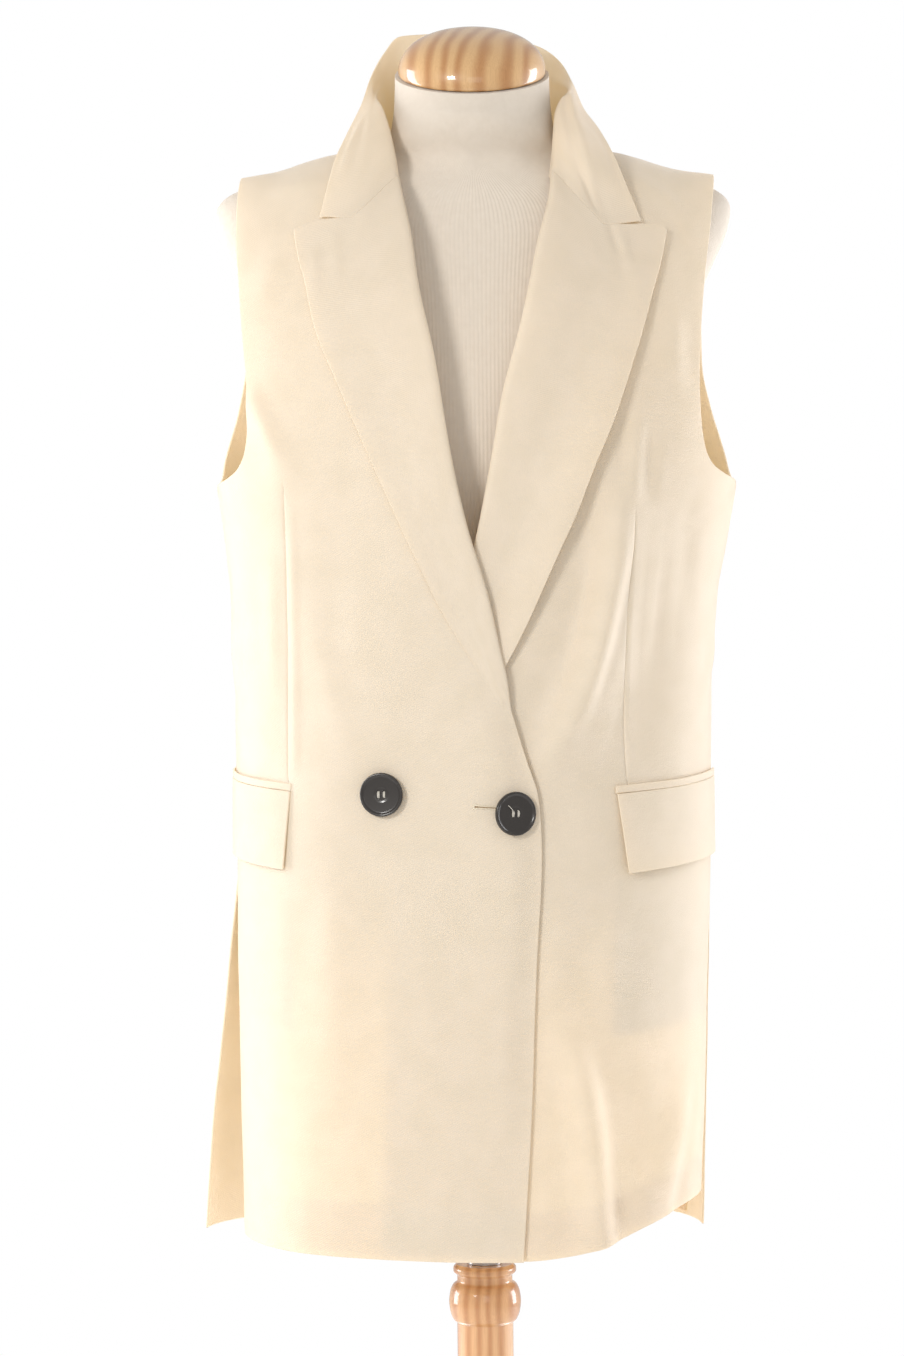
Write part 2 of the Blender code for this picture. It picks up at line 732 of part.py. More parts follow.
def pocket_grid(pocket, rows, columns, top_drop, bottom_drop, slant):
    """Points under a strip that follows the pocket's upper edge, between two drops below it."""
    start = angle_at(pocket["front_x"], pocket["front_z"])
    end = np.radians(pocket["side_angle"])
    across = np.linspace(0, 1, columns)
    grid = []
    for k, drop in enumerate(np.linspace(top_drop, bottom_drop, rows)):
        top = pocket["front_z"] + (pocket["side_z"] - pocket["front_z"]) * across
        lean = slant * drop * (1 - across)
        angle = start + (end - start) * across + np.sign(end) * lean
        grid.append(garment(angle, top - drop))
    return np.array(grid)


def make_pockets(cloth):
    for side, pocket, slant in (("right", RIGHT_POCKET, 0.75), ("left", LEFT_POCKET, 0.85)):
        welt = pocket_grid(pocket, 2, FLAP_COLUMNS, 0.0, WELT_HEIGHT, 0.0)
        cloth_wall("welt_" + side, welt, CLOTH + LAYER_GAP, cloth)
        flap = pocket_grid(
            pocket, FLAP_ROWS, FLAP_COLUMNS, WELT_HEIGHT + SEAM, WELT_HEIGHT + FLAP_DROP, slant
        )
        hang = np.linspace(0, 1, FLAP_ROWS)[:, None] * np.linspace(1, 0.3, FLAP_COLUMNS)[None, :]
        cloth_wall("flap_" + side, flap, CLOTH + LAYER_GAP + pocket["stand"] * hang, cloth)


# ---- Buttons ----
OUTER_BUTTON = (-0.0715, 0.8912)
FASTENED_BUTTON = (0.0229, 0.8766)
SHANK_R = 0.0030
SHANK_LENGTH = 0.0016
BUTTON_SIDES = 28
BUTTON_PROFILE = (
    # (share of the radius, share of the thickness), from the underside over the rim to the dished top
    (0.86, 0.00),
    (1.00, 0.45),
    (1.00, 0.75),
    (0.95, 1.00),
    (0.88, 1.00),
    (0.80, 0.74),
    (0.00, 0.66),
)


def lathe(name, profile, sides, material, place=None, axis=None):
    """A closed turned solid. The profile is (radius, height) from one end of the axis to the other."""
    axis = np.array([0, 0, 1.0]) if axis is None else axis / np.linalg.norm(axis)
    helper = np.array([0, 0, 1.0]) if abs(axis[2]) < 0.9 else np.array([1.0, 0, 0])
    side = np.cross(helper, axis)
    side /= np.linalg.norm(side)
    other = np.cross(axis, side)
    place = np.zeros(3) if place is None else place
    turn = np.linspace(0, 2 * np.pi, sides, endpoint=False)
    vertices, rings = [], []
    for radius, height in profile:
        centre = place + axis * height
        if radius < 1e-6:
            rings.append([len(vertices)])
            vertices.append(centre)
            continue
        rings.append(list(range(len(vertices), len(vertices) + sides)))
        vertices += [centre + radius * (side * np.cos(a) + other * np.sin(a)) for a in turn]
    faces = []
    for low, high in zip(rings[:-1], rings[1:]):
        for k in range(sides):
            after = (k + 1) % sides
            if len(low) == 1:
                faces.append((low[0], high[after], high[k]))
            elif len(high) == 1:
                faces.append((low[k], low[after], high[0]))
            else:
                faces.append((low[k], low[after], high[after], high[k]))
    return add_object(name, vertices, faces, material)


def make_buttons(front_outside, horn):
    profile = [(0, 0), (SHANK_R, 0), (SHANK_R, SHANK_LENGTH)]
    for radius, height in BUTTON_PROFILE:
        profile.append((BUTTON_R * radius, SHANK_LENGTH + BUTTON_T * height))
    for name, (x, z) in (("button_outer", OUTER_BUTTON), ("button_fastened", FASTENED_BUTTON)):
        seat, up = facet_at(front_outside, x, z)
        lathe(name, profile, BUTTON_SIDES, horn, seat + up * SEAM, up)


def facet_at(grid, x, z):
    """The point of a grid's facets that is seen at (x, z) from the front, and the facet's normal."""
    corners = [grid[:-1, :-1], grid[:-1, 1:], grid[1:, 1:], grid[1:, :-1]]
    a = np.concatenate([corners[0].reshape(-1, 3), corners[2].reshape(-1, 3)])
    b = np.concatenate([corners[1].reshape(-1, 3)] * 2)
    c = np.concatenate([corners[3].reshape(-1, 3)] * 2)
    ab, ac = b - a, c - a
    px, pz = x - a[:, 0], z - a[:, 2]
    area = ab[:, 0] * ac[:, 2] - ab[:, 2] * ac[:, 0]
    v = (px * ac[:, 2] - pz * ac[:, 0]) / area
    w = (ab[:, 0] * pz - ab[:, 2] * px) / area
    hit = int(np.argmax((v >= 0) & (w >= 0) & (v + w <= 1)))
    up = np.cross(ab[hit], ac[hit])
    up /= np.linalg.norm(up)
    return a[hit] + v[hit] * ab[hit] + w[hit] * ac[hit], up if up[1] < 0 else -up


# ---- Dress form and stand ----
FORM = Table(
    "z half_width front back power",
    [
        (FORM_BOTTOM_Z, 0.1250, 0.088, 0.090, 2.1),
        (0.742, 0.1440, 0.100, 0.102, 2.1),
        (0.756, 0.1540, 0.107, 0.110, 2.1),
        (0.800, 0.1610, 0.111, 0.112, 2.1),
        (0.860, 0.1560, 0.108, 0.104, 2.1),
        (0.920, 0.1380, 0.099, 0.091, 2.1),
        (0.970, 0.1290, 0.094, 0.086, 2.1),
        (1.020, 0.1340, 0.098, 0.087, 2.1),
        (1.080, 0.1500, 0.110, 0.092, 2.15),
        (1.130, 0.1610, 0.117, 0.097, 2.2),
        (1.180, 0.1640, 0.111, 0.100, 2.2),
        (1.230, 0.1660, 0.097, 0.100, 2.2),
        (1.270, 0.1740, 0.083, 0.094, 2.2),
        (1.300, 0.1890, 0.070, 0.084, 2.2),
        (1.320, 0.1965, 0.062, 0.076, 2.1),
        (1.336, 0.1990, 0.055, 0.070, 1.9),
        (1.348, 0.1900, 0.050, 0.067, 1.6),
        (1.354, 0.1760, 0.047, 0.066, 1.45),
        (1.358, 0.1640, 0.046, 0.066, 1.35),
        (1.362, 0.1510, 0.045, 0.065, 1.3),
        (1.366, 0.1380, 0.045, 0.065, 1.3),
        (1.370, 0.1170, 0.045, 0.065, 1.3),
        (1.374, 0.0860, 0.047, 0.064, 1.4),
        (1.3765, 0.0770, 0.049, 0.064, 1.55),
        (1.3785, 0.0725, 0.050, 0.063, 1.7),
        (1.384, 0.0675, 0.053, 0.062, 1.9),
        (1.392, 0.0640, 0.056, 0.061, 2.0),
        (1.404, 0.0615, 0.0575, 0.060, 2.0),
        (1.420, 0.0600, 0.0590, 0.0595, 2.0),
        (1.439, 0.0595, 0.0595, 0.0595, 2.0),
    ],
)
FORM_RINGS = (FORM_BOTTOM_Z, 0.742, 0.756, 0.790, 0.830, 0.870, 0.910, 0.950, 0.990, 1.030, 1.070, 1.105,
              1.140, 1.180, 1.220, 1.255, 1.280, 1.300, 1.318, 1.334, 1.345, 1.352, 1.358, 1.364,
              1.370, 1.375, 1.3785, 1.384, 1.392, 1.404, 1.420, 1.439)
FORM_CLEARANCE = 0.0024  # between the form and the cloth's smooth inner surface
NECKLINE_CLEARANCE = 0.0052  # more of it beside the neck
FORM_SIDES = 40
NECK_BASE_Z = 1.3786
NECK_TILT_Z = 1.385  # above this height the neck's rings tilt forwards, up to the cap's tilt


def covered(x, z):
    """0 in the open neck, rising to 1 where a front's cloth lies over the form."""
    edge = np.where(x < 0, -RIGHT_EDGE("x", z), LEFT_EDGE("x", z))
    return ease(np.abs(x), edge - 0.023, edge - 0.012)


def near_neckline(x, z):
    """1 beside the neck, where the collar's stand starts inside the fronts, and 0 away from it."""
    return ease(z, 1.335, 1.350) * (1 - ease(np.abs(x), 0.088, 0.105))


def make_form(jersey):
    turn = np.linspace(0, 2 * np.pi, FORM_SIDES, endpoint=False)
    s, c = np.sin(turn), np.cos(turn)
    rings = []
    for z in FORM_RINGS:
        power = 2 / FORM("power", z)
        depth = np.where(c > 0, FORM("front", z), FORM("back", z))
        x = FORM("half_width", z) * np.sign(s) * np.abs(s) ** power
        y = -depth * np.sign(c) * np.abs(c) ** power
        if z < NECK_BASE_Z:
            clear = FORM_CLEARANCE + NECKLINE_CLEARANCE * near_neckline(x, z)
            before = garment(angle_at(x, z), z)[:, 1] + clear
            behind = garment(np.pi - angle_at(x, z), z)[:, 1] - clear
            pushed = y + (np.maximum(y, before) - y) * covered(x, z)
            y = np.where(c > 0, pushed, np.minimum(y, behind))
        tilt = CAP_TILT * ease(z, NECK_TILT_Z, CAP_Z)
        rings.append(np.stack([x, y * np.cos(tilt), z + y * np.sin(tilt)], -1))
    count = len(rings)
    index = np.arange(count * FORM_SIDES).reshape(count, FORM_SIDES)
    after = np.roll(index, -1, axis=1)
    sides = np.stack([index[:-1], after[:-1], after[1:], index[1:]], -1).reshape(-1, 4)
    faces = list(sides) + [index[0, ::-1], index[-1]]
    vertices = np.concatenate(rings)
    add_object("torso", vertices, faces, jersey)


CAP_LIP = 0.0030
CAP_FULLNESS = 0.8  # under 1, the cap's dome is fuller than a circle's arc
CAP_SIDES = 32


def make_cap(wood):
    profile = [(0, 0), (CAP_R * 0.97, 0), (CAP_R, CAP_LIP * 0.4), (CAP_R, CAP_LIP)]
    for angle in np.radians((15, 30, 45, 60, 75)):
        radius = CAP_R * np.cos(angle) ** CAP_FULLNESS
        profile.append((radius, CAP_LIP + (CAP_RISE - CAP_LIP) * np.sin(angle)))
    profile.append((0, CAP_RISE))
    axis = np.array([0, -np.sin(CAP_TILT), np.cos(CAP_TILT)])
    place = np.array([0, 0, CAP_Z]) + axis * SEAM
    lathe("neck_cap", profile, CAP_SIDES, wood, place, axis)


POLE_PROFILE = (
    # (radius, height) of the turned pole, from its foot up: plinth, shaft, ball, neck and collar
    (0.0560, 0.0283),
    (0.0600, 0.0343),
    (0.0590, 0.0423),
    (0.0560, 0.0480),
    (0.0420, 0.0560),
    (0.0310, 0.0720),
    (0.0250, 0.0900),
    (0.0216, 0.1100),
    (0.0216, 0.4790),
    (0.0245, 0.4820),
    (0.0268, 0.4880),
    (0.0277, 0.4955),
    (0.0268, 0.5030),
    (0.0245, 0.5085),
    (0.0212, 0.5115),
    (0.0212, 0.5155),
    (0.0242, 0.5190),
    (0.0242, 0.5215),
    (0.0218, POLE_TOP_Z),
)
BASE_PROFILE = (
    # (radius, height) of the round base, from the floor up
    (BASE_R - 0.003, 0),
    (BASE_R, 0.003),
    (BASE_R, BASE_T - 0.010),
    (BASE_R - 0.004, BASE_T - 0.004),
    (BASE_R - 0.014, BASE_T),
)
BASE_SIDES = 40
POLE_SIDES = 24
SEAT_GAP = 0.0003  # between the stand's pieces, which rest on each other


def capped(profile):
    """A turned profile with its flat ends closed at the axis."""
    return [(0, profile[0][1]), *profile, (0, profile[-1][1])]


def make_stand(wood, steel):
    lathe("base", capped(BASE_PROFILE), BASE_SIDES, wood)
    lathe("stand_pole", capped(POLE_PROFILE), POLE_SIDES, wood)
    tube = ((TUBE_R, POLE_TOP_Z + SEAT_GAP), (TUBE_R, FORM_BOTTOM_Z - SEAT_GAP))
    lathe("pole_tube", capped(tube), POLE_SIDES, steel)


# ---- Materials ----
def material(name, colour, roughness, metallic=0.0):
    made = bpy.data.materials.new(name)
    made.use_nodes = True
    shader = made.node_tree.nodes["Principled BSDF"]
    shader.inputs["Base Color"].default_value = (*colour, 1)
    shader.inputs["Roughness"].default_value = roughness
    shader.inputs["Metallic"].default_value = metallic
    made.diffuse_color = (*colour, 1)
    return made


def main():
    for piece in list(bpy.data.objects):
        bpy.data.objects.remove(piece)
    cloth = material("cream_cloth", (0.87, 0.78, 0.63), 0.75)
    jersey = material("beige_jersey", (0.72, 0.64, 0.54), 0.9)
    horn = material("dark_horn", (0.03, 0.026, 0.024), 0.25)
    wood = material("pale_wood", (0.78, 0.52, 0.26), 0.3)
    steel = material("steel", (0.6, 0.6, 0.6), 0.3, 1.0)
    right_front, left_front = make_fronts(cloth)
    make_back(cloth)
    right_top, left_top = make_lapels(right_front, left_front, cloth)
    make_collar(right_top, left_top, cloth)
    make_pockets(cloth)
    outside = right_front + normals(right_front, from_axis(right_front)) * (
        top_lift(right_front)[..., None] + CLOTH
    )
    make_buttons(outside, horn)
    make_form(jersey)
    make_cap(wood)
    make_stand(wood, steel)


main()
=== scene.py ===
"""Looks of a longline double-breasted tailored vest on a dress form and its turned wooden stand.

Metres, +Z up, the garment's front faces -Y, and the origin is the middle of the base on the floor.
"Right" and "left" are the wearer's. The right front, on the -X side, lies on top. Every cloth piece
is a thin shell on one shared garment surface, with its creases laid one by one.
"""

import bmesh
import bpy
import numpy as np
from mathutils import Matrix


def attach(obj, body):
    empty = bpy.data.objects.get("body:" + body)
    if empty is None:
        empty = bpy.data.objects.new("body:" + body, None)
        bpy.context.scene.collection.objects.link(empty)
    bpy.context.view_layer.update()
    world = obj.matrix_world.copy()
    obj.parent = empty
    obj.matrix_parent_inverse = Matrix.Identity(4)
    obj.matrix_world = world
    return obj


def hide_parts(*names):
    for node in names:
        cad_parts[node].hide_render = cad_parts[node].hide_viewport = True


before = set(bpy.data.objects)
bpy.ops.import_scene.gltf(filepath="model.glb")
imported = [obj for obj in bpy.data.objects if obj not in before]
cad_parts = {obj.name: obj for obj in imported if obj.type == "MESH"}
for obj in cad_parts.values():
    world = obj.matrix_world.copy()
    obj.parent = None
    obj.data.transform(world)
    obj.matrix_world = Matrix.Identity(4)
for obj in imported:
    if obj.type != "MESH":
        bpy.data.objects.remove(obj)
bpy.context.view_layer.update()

# ---- Driving sizes ----
MM = 0.001
CLOTH = 0.0016  # cloth, interlining and lining together
SEAM = 0.0005  # gap kept along every seam
LAYER_GAP = 0.0010  # gap between layers that lie on each other
GIRTH_POWER = 2.4  # squareness of the garment's horizontal sections

CHEST_Z = 1.220  # above this height the cloth starts to turn over the shoulder
SHOULDER_Y = 0.004  # depth at which the shoulder seams run
SHOULDER_TURN = (1.25, 1.36)  # heights between which the cloth moves back to that depth
HEM_Z = 0.5515

BUTTON_R = 0.016
BUTTON_T = 0.0042
FLAP_DROP = 0.058
WELT_HEIGHT = 0.0055

CAP_R = 0.0566
CAP_RISE = 0.0335
CAP_LIP = 0.0030
CAP_FULLNESS = 0.8
CAP_TILT = np.radians(24.8)
CAP_Z = 1.439
FORM_BOTTOM_Z = 0.738
GIRTH_R = 0.13  # roughly, where a girth angle is worked out from a length
SEAM_END_X = 0.088  # where the shoulder seams and the two necklines meet, beside the neck

TUBE_R = 0.0135
BASE_R = 0.160
BASE_T = 0.028
POLE_TOP_Z = 0.5245


class Table:
    """Smooth curves through a short table. Each column is read by its name, against the first one."""

    def __init__(self, columns, rows):
        self.columns = columns.split()
        order = sorted(rows)
        self.rows = np.array(order, float)

    def __call__(self, column, where):
        at = self.rows[:, 0]
        values = self.rows[:, self.columns.index(column)]
        return hermite(at, values, where)


def hermite(at, values, where):
    """Monotone cubic through (at, values), so that it never swings past its own points."""
    step = np.diff(at)
    rise = np.diff(values) / step
    slope = np.zeros_like(values)
    same_way = rise[:-1] * rise[1:] > 0
    before = 2 * step[1:] + step[:-1]
    after = step[1:] + 2 * step[:-1]
    with np.errstate(divide="ignore", invalid="ignore"):
        mean = (before + after) / (before / rise[:-1] + after / rise[1:])
    slope[1:-1] = np.where(same_way, mean, 0)
    slope[0], slope[-1] = rise[0], rise[-1]
    where = np.clip(where, at[0], at[-1])
    left = np.clip(np.searchsorted(at, where, side="right") - 1, 0, len(step) - 1)
    t = (where - at[left]) / step[left]
    h = step[left]
    a, b = values[left], values[left + 1]
    return (
        a * (1 + 2 * t) * (1 - t) ** 2
        + b * t * t * (3 - 2 * t)
        + h * t * (1 - t) * (slope[left] * (1 - t) - slope[left + 1] * t)
    )


def ease(value, start, end):
    """0 before start and 1 after end, turning smoothly between."""
    t = np.clip((value - start) / (end - start), 0, 1)
    return t * t * (3 - 2 * t)


def band(value, rise_start, rise_end, fall_start, fall_end):
    """1 in a band of values and 0 outside it, with soft edges."""
    return ease(value, rise_start, rise_end) * (1 - ease(value, fall_start, fall_end))


def unit(vectors):
    """The same vectors, each one metre long."""
    return vectors / np.maximum(np.linalg.norm(vectors, axis=-1, keepdims=True), 1e-12)


def lengths(points):
    """Distance along a curve to each of its points."""
    return np.concatenate([[0], np.cumsum(np.linalg.norm(np.diff(points, axis=0), axis=1))])


def points_at(values, length, at):
    return np.stack([np.interp(at, length, values[:, k]) for k in range(values.shape[1])], -1)


def resample(points, count):
    """The same curve with evenly spaced points."""
    length = lengths(points)
    return points_at(points, length, np.linspace(0, length[-1], count))


# ---- The garment's surface ----
GARMENT = Table("z half_width front back shift", [
    (1.4, 0.202, 0.104, 0.104, 0), (1.3, 0.206, 0.112, 0.108, 0), (1.25, 0.207, 0.12, 0.11, 0),
    (1.2, 0.205, 0.128, 0.111, 0), (1.13, 0.199, 0.136, 0.11, 0), (1.08, 0.191, 0.135, 0.107, -0.001),
    (1.035, 0.1845, 0.134, 0.104, -0.003), (0.975, 0.181, 0.132, 0.102, -0.004),
    (0.85, 0.1795, 0.132, 0.108, -0.005), (0.7, 0.177, 0.131, 0.116, -0.007),
    (0.54, 0.173, 0.13, 0.121, -0.009),
])
# Height of the crest that the cloth turns over, before and behind it, outwards from the neck.
CREST = Table("x front back", [
    (0, 1.46, 1.444), (0.03, 1.405, 1.438), (0.05, 1.3735, 1.426), (0.066, 1.373, 1.41),
    (0.088, 1.379, 1.379), (0.106, 1.377, 1.377), (0.125, 1.3725, 1.3725), (0.155, 1.3635, 1.3635),
    (0.185, 1.359, 1.359), (0.215, 1.356, 1.356),
])
BACK_NECK = Table("x z", [(0, 1.39), (0.04, 1.388), (0.075, 1.3825), (0.088, 1.379)])
# Large soft folds on a front, as (x0, z0, x1, z1, width, height): from one point to another, a ridge
# or, with a height below 0, a trough. The first two run from the left dart towards the fastened
# button, the next three down to the raised hem, and the last from the right armhole to its dart.
FOLDS = (
    (0.108, 1.105, 0.046, 0.905, 0.016, 0.0045), (0.09, 1.06, 0.03, 0.9, 0.018, -0.003),
    (0.064, 0.72, 0.086, 0.56, 0.013, 0.006), (0.148, 0.66, 0.112, 0.57, 0.014, 0.005),
    (0.105, 0.68, 0.108, 0.56, 0.014, -0.004), (-0.172, 1.19, -0.14, 1.12, 0.014, 0.0035),
)
FOLD_ENDS = (-0.15, 0.25, 0.8, 1.2)  # shares of its length over which a fold starts and ends


def superellipse(angle, half_width, front, back):
    s, c = np.sin(angle), np.cos(angle)
    power = 2 / GIRTH_POWER
    depth = np.where(c > 0, front, back)
    x = half_width * np.sign(s) * np.abs(s) ** power
    return x, -depth * np.sign(c) * np.abs(c) ** power


def angle_at(x, z):
    """Girth angle on the front half of the garment, 0 at the middle, for a point seen at x."""
    share = (x - GARMENT("shift", z)) / GARMENT("half_width", z)
    share = np.clip(share, -1, 1)
    return np.sign(share) * np.arcsin(np.abs(share) ** (GIRTH_POWER / 2))


def crest_z(x, behind):
    return np.where(behind, CREST("back", np.abs(x)), CREST("front", np.abs(x)))


def fold_height(x, z):
    total = np.zeros_like(x)
    for x0, z0, x1, z1, width, height in FOLDS:
        run = np.array([x1 - x0, z1 - z0])
        t = ((x - x0) * run[0] + (z - z0) * run[1]) / (run @ run)
        near = np.clip(t, 0, 1)
        away = np.hypot(x - x0 - near * run[0], z - z0 - near * run[1])
        total = total + height * np.exp(-((away / width) ** 2)) * band(t, *FOLD_ENDS)
    return total


def garment(angle, z):
    """Points of the garment's inner surface at a girth angle (0 front, pi/2 at +X, pi back) and height."""
    angle, z = np.broadcast_arrays(np.asarray(angle, float), np.asarray(z, float))
    x, y = superellipse(angle, *(GARMENT(column, z) for column in ("half_width", "front", "back")))
    x = x + GARMENT("shift", z)
    top = crest_z(x, y > 0)
    lift = np.clip((z - CHEST_Z) / (top - CHEST_Z), 0, 1)
    y = y * np.sqrt(1 - lift**2)
    y = y - np.where(y < 0, fold_height(x, z), 0)
    return np.stack([x, y + SHOULDER_Y * ease(z, *SHOULDER_TURN), z], axis=-1)


# ---- Creases ----
# A section of middling size measures the girth: 0 at the middle of the front, positive towards +X.
SECTION_ANGLES = np.linspace(0, np.pi, 721)
SECTION_SIZE = (0.186, 0.132, 0.107)  # half width, front, back
SECTION = np.stack(superellipse(SECTION_ANGLES, *SECTION_SIZE), -1)
SECTION_LENGTHS = lengths(SECTION)
HALF_GIRTH = SECTION_LENGTHS[-1]


def girth(angle):
    """Signed length round the garment from the middle of the front."""
    turned = (np.asarray(angle, float) + np.pi) % (2 * np.pi) - np.pi
    return np.sign(turned) * np.interp(np.abs(turned), SECTION_ANGLES, SECTION_LENGTHS)


def seen(x, z):
    """(girth, z) of a place on the front that is given as (x, z)."""
    return float(girth(angle_at(x, z))), z


def behind(x, z):
    """(girth, z) of a place on the back, given as its distance towards +X from the middle back."""
    return (float(np.sign(x) * (HALF_GIRTH - abs(x))) if x else HALF_GIRTH), z


def measured(x, z):
    """A place that is already given along the cloth."""
    return x, z


def creases(place, *rows):
    """Creases as (line, width on its left, width on its right, height, soft start, soft end).

    A row gives the line's places in order, then both widths and the height, all in mm, and last the
    soft ends as shares of the line's length.
    """
    made = []
    for row in rows:
        line = [place(x * MM, z * MM) for x, z in zip(row[:-5:2], row[1:-5:2])]
        made.append((line, *(size * MM for size in row[-5:-2]), *row[-2:]))
    return made


CREASES = creases(
    seen,
    # left front, from the dart towards the fastened button
    (106, 1150, 94, 1040, 74, 962, 38, 897, 26, 13, 6.6, 0.3, 0.3),
    (104, 1110, 95, 1032, 75, 960, 46, 905, 5.5, 8.5, 3, 0.3, 0.4),
    (140, 1060, 122, 985, 94, 925, 66, 880, 30, 28, -3.5, 0.35, 0.35),
    (96, 1060, 86, 1005, 72, 955, 4.5, 6, 0.8, 0.35, 0.4),
    (101, 965, 90, 930, 72, 900, 4, 6, 0.7, 0.35, 0.4),
    (121, 1180, 116, 1140, 110, 1095, 5, 6, 1.6, 0.4, 0.3),
    (133, 1170, 127, 1135, 124, 1090, 5, 7, -1.2, 0.4, 0.4),
    (88, 1075, 70, 1010, 52, 950, 8, 7, -1.2, 0.4, 0.4),
    # left front, beside the dart
    (130, 1100, 126, 1030, 121, 960, 5, 6, 1.1, 0.4, 0.4),
    (146, 1080, 141, 1020, 139, 950, 5, 7, 0.9, 0.4, 0.5),
    (160, 1130, 156, 1070, 160, 1000, 6, 8, -1, 0.4, 0.4),
    # left front, down to the raised hem
    (64, 720, 74.8, 677, 79.6, 635, 83.8, 605, 84.8, 555, 8, 13, 3.4, 0.35, 0.05),
    (90, 620, 110, 600, 133, 580, 6.5, 11, 2.4, 0.35, 0.4),
    (152, 690, 142, 630, 127, 575, 8.5, 12, 3, 0.35, 0.15),
    (101, 822, 92, 765, 86, 712, 9, 12, 1.4, 0.4, 0.5),
    (60, 850, 52, 760, 50, 650, 14, 16, 1.2, 0.4, 0.4),
    # right front, from the armhole towards the waist dart
    (-170, 1195, -156, 1163, -141, 1130, 6, 8, 1.8, 0.3, 0.5),
    (-90, 1336, -125, 1322, -162, 1314, 8, 10, -1.8, 0.3, 0.4),
    (-150, 1090, -152, 1010, -149, 940, 6, 8, 1, 0.4, 0.4),
    (-128, 1060, -112, 980, -88, 915, 10, 12, 1.2, 0.5, 0.4),
    (-100, 860, -104, 760, -110, 640, 16, 14, 1.4, 0.4, 0.4),
    (-30, 850, -38, 740, -36, 620, 14, 18, 1, 0.4, 0.4),
    # shoulders, from the neck towards the armhole
    (-108, 1352, -135, 1345, -160, 1338, 5, 7, 1.2, 0.35, 0.4),
    (-135, 1300, -150, 1280, -160, 1245, 8, 11, 1.3, 0.4, 0.4),
    (112, 1350, 138, 1338, 160, 1322, 6, 8, 1.3, 0.35, 0.4),
    (125, 1330, 146, 1312, 158, 1285, 7, 9, -1.3, 0.35, 0.4),
    (150, 1260, 146, 1220, 150, 1170, 7, 9, 1.4, 0.4, 0.4),
)
CREASES += creases(
    measured,
    # the sides
    (-236, 1050, -226, 985, -206, 935, 7, 10, 1.6, 0.4, 0.4),
    (-214, 1075, -221, 1010, -240, 960, 7, 9, 1.3, 0.4, 0.4),
    (232, 1060, 224, 990, 205, 945, 6, 9, 1.5, 0.4, 0.4),
    (215, 1040, 226, 990, 243, 965, 6, 9, 1.2, 0.4, 0.4),
)
CREASES += creases(
    behind,
    # the back, drawn from the waist darts and the side seams
    (-30, 1120, -55, 1060, -92, 1010, 8, 12, 2, 0.4, 0.4),
    (22, 1105, 58, 1040, 100, 1005, 9, 11, 1.7, 0.4, 0.4),
    (-190, 1035, -140, 990, -70, 968, 6, 10, 1.8, 0.4, 0.5),
    (185, 1015, 145, 985, 82, 972, 7, 10, 1.6, 0.4, 0.5),
    (-165, 1180, -120, 1120, -85, 1080, 9, 12, 1.6, 0.4, 0.4),
    (170, 1165, 128, 1118, 94, 1085, 8, 12, 1.4, 0.4, 0.4),
    (-60, 1330, -100, 1250, -110, 1190, 10, 14, 1.6, 0.4, 0.4),
    (75, 1310, 108, 1240, 105, 1170, 11, 13, 1.2, 0.4, 0.4),
    (-45, 900, -50, 790, -40, 660, 18, 16, 2.2, 0.3, 0.3),
    (52, 880, 64, 770, 56, 640, 16, 20, 1.8, 0.3, 0.3),
    (-120, 860, -138, 740, -130, 610, 15, 19, 2.4, 0.3, 0.2),
    (128, 850, 141, 730, 146, 600, 17, 15, 1.6, 0.3, 0.2),
)
# Grooves of the front darts, the back darts and the middle back seam, then the swellings beside the
# front darts.
SEAMS = creases(
    seen,
    (-142, 1124, -141, 1034, -140, 900, 0.9, 0.9, -1, 0.12, 0.01),
    (112, 1100, 107, 1031, 107, 896, 0.9, 0.9, -1, 0.12, 0.01),
    (-137, 1124, -135.5, 1034, -134.5, 905, 4, 3.6, 1.1, 0.3, 0.05),
    (116.5, 1100, 111.5, 1031, 111.5, 900, 3.6, 4.2, 1.1, 0.3, 0.05),
)
SEAMS += creases(
    behind,
    (-78, 1150, -84, 1000, -80, 840, 1, 1, -0.9, 0.12, 0.12),
    (78, 1150, 84, 1000, 80, 840, 1, 1, -0.9, 0.12, 0.12),
    (0, 1395, 0, 1000, 0, 545, 1.1, 1.1, -0.9, 0, 0),
)
CURVE_POINTS = 17
CREASE_REACH = 3.4  # a crease fades out within this many of its widths
FLANK = 0.28  # each crease has a shallow counter-fold on both sides, this share of its height
FLANK_PLACE, FLANK_WIDTH = 2.0, 0.85  # the same for its place and its width


def smooth_line(places, count):
    """A smooth curve through a few places, from end to end."""
    places = np.array(places, float)
    share = lengths(places)
    share /= share[-1]
    where = np.linspace(0, 1, count)
    if len(places) < 3:
        return points_at(places, share, where)
    weights = np.polynomial.polynomial.polyfit(share, places, min(len(places) - 1, 3))
    return np.polynomial.polynomial.polyval(where, weights).T


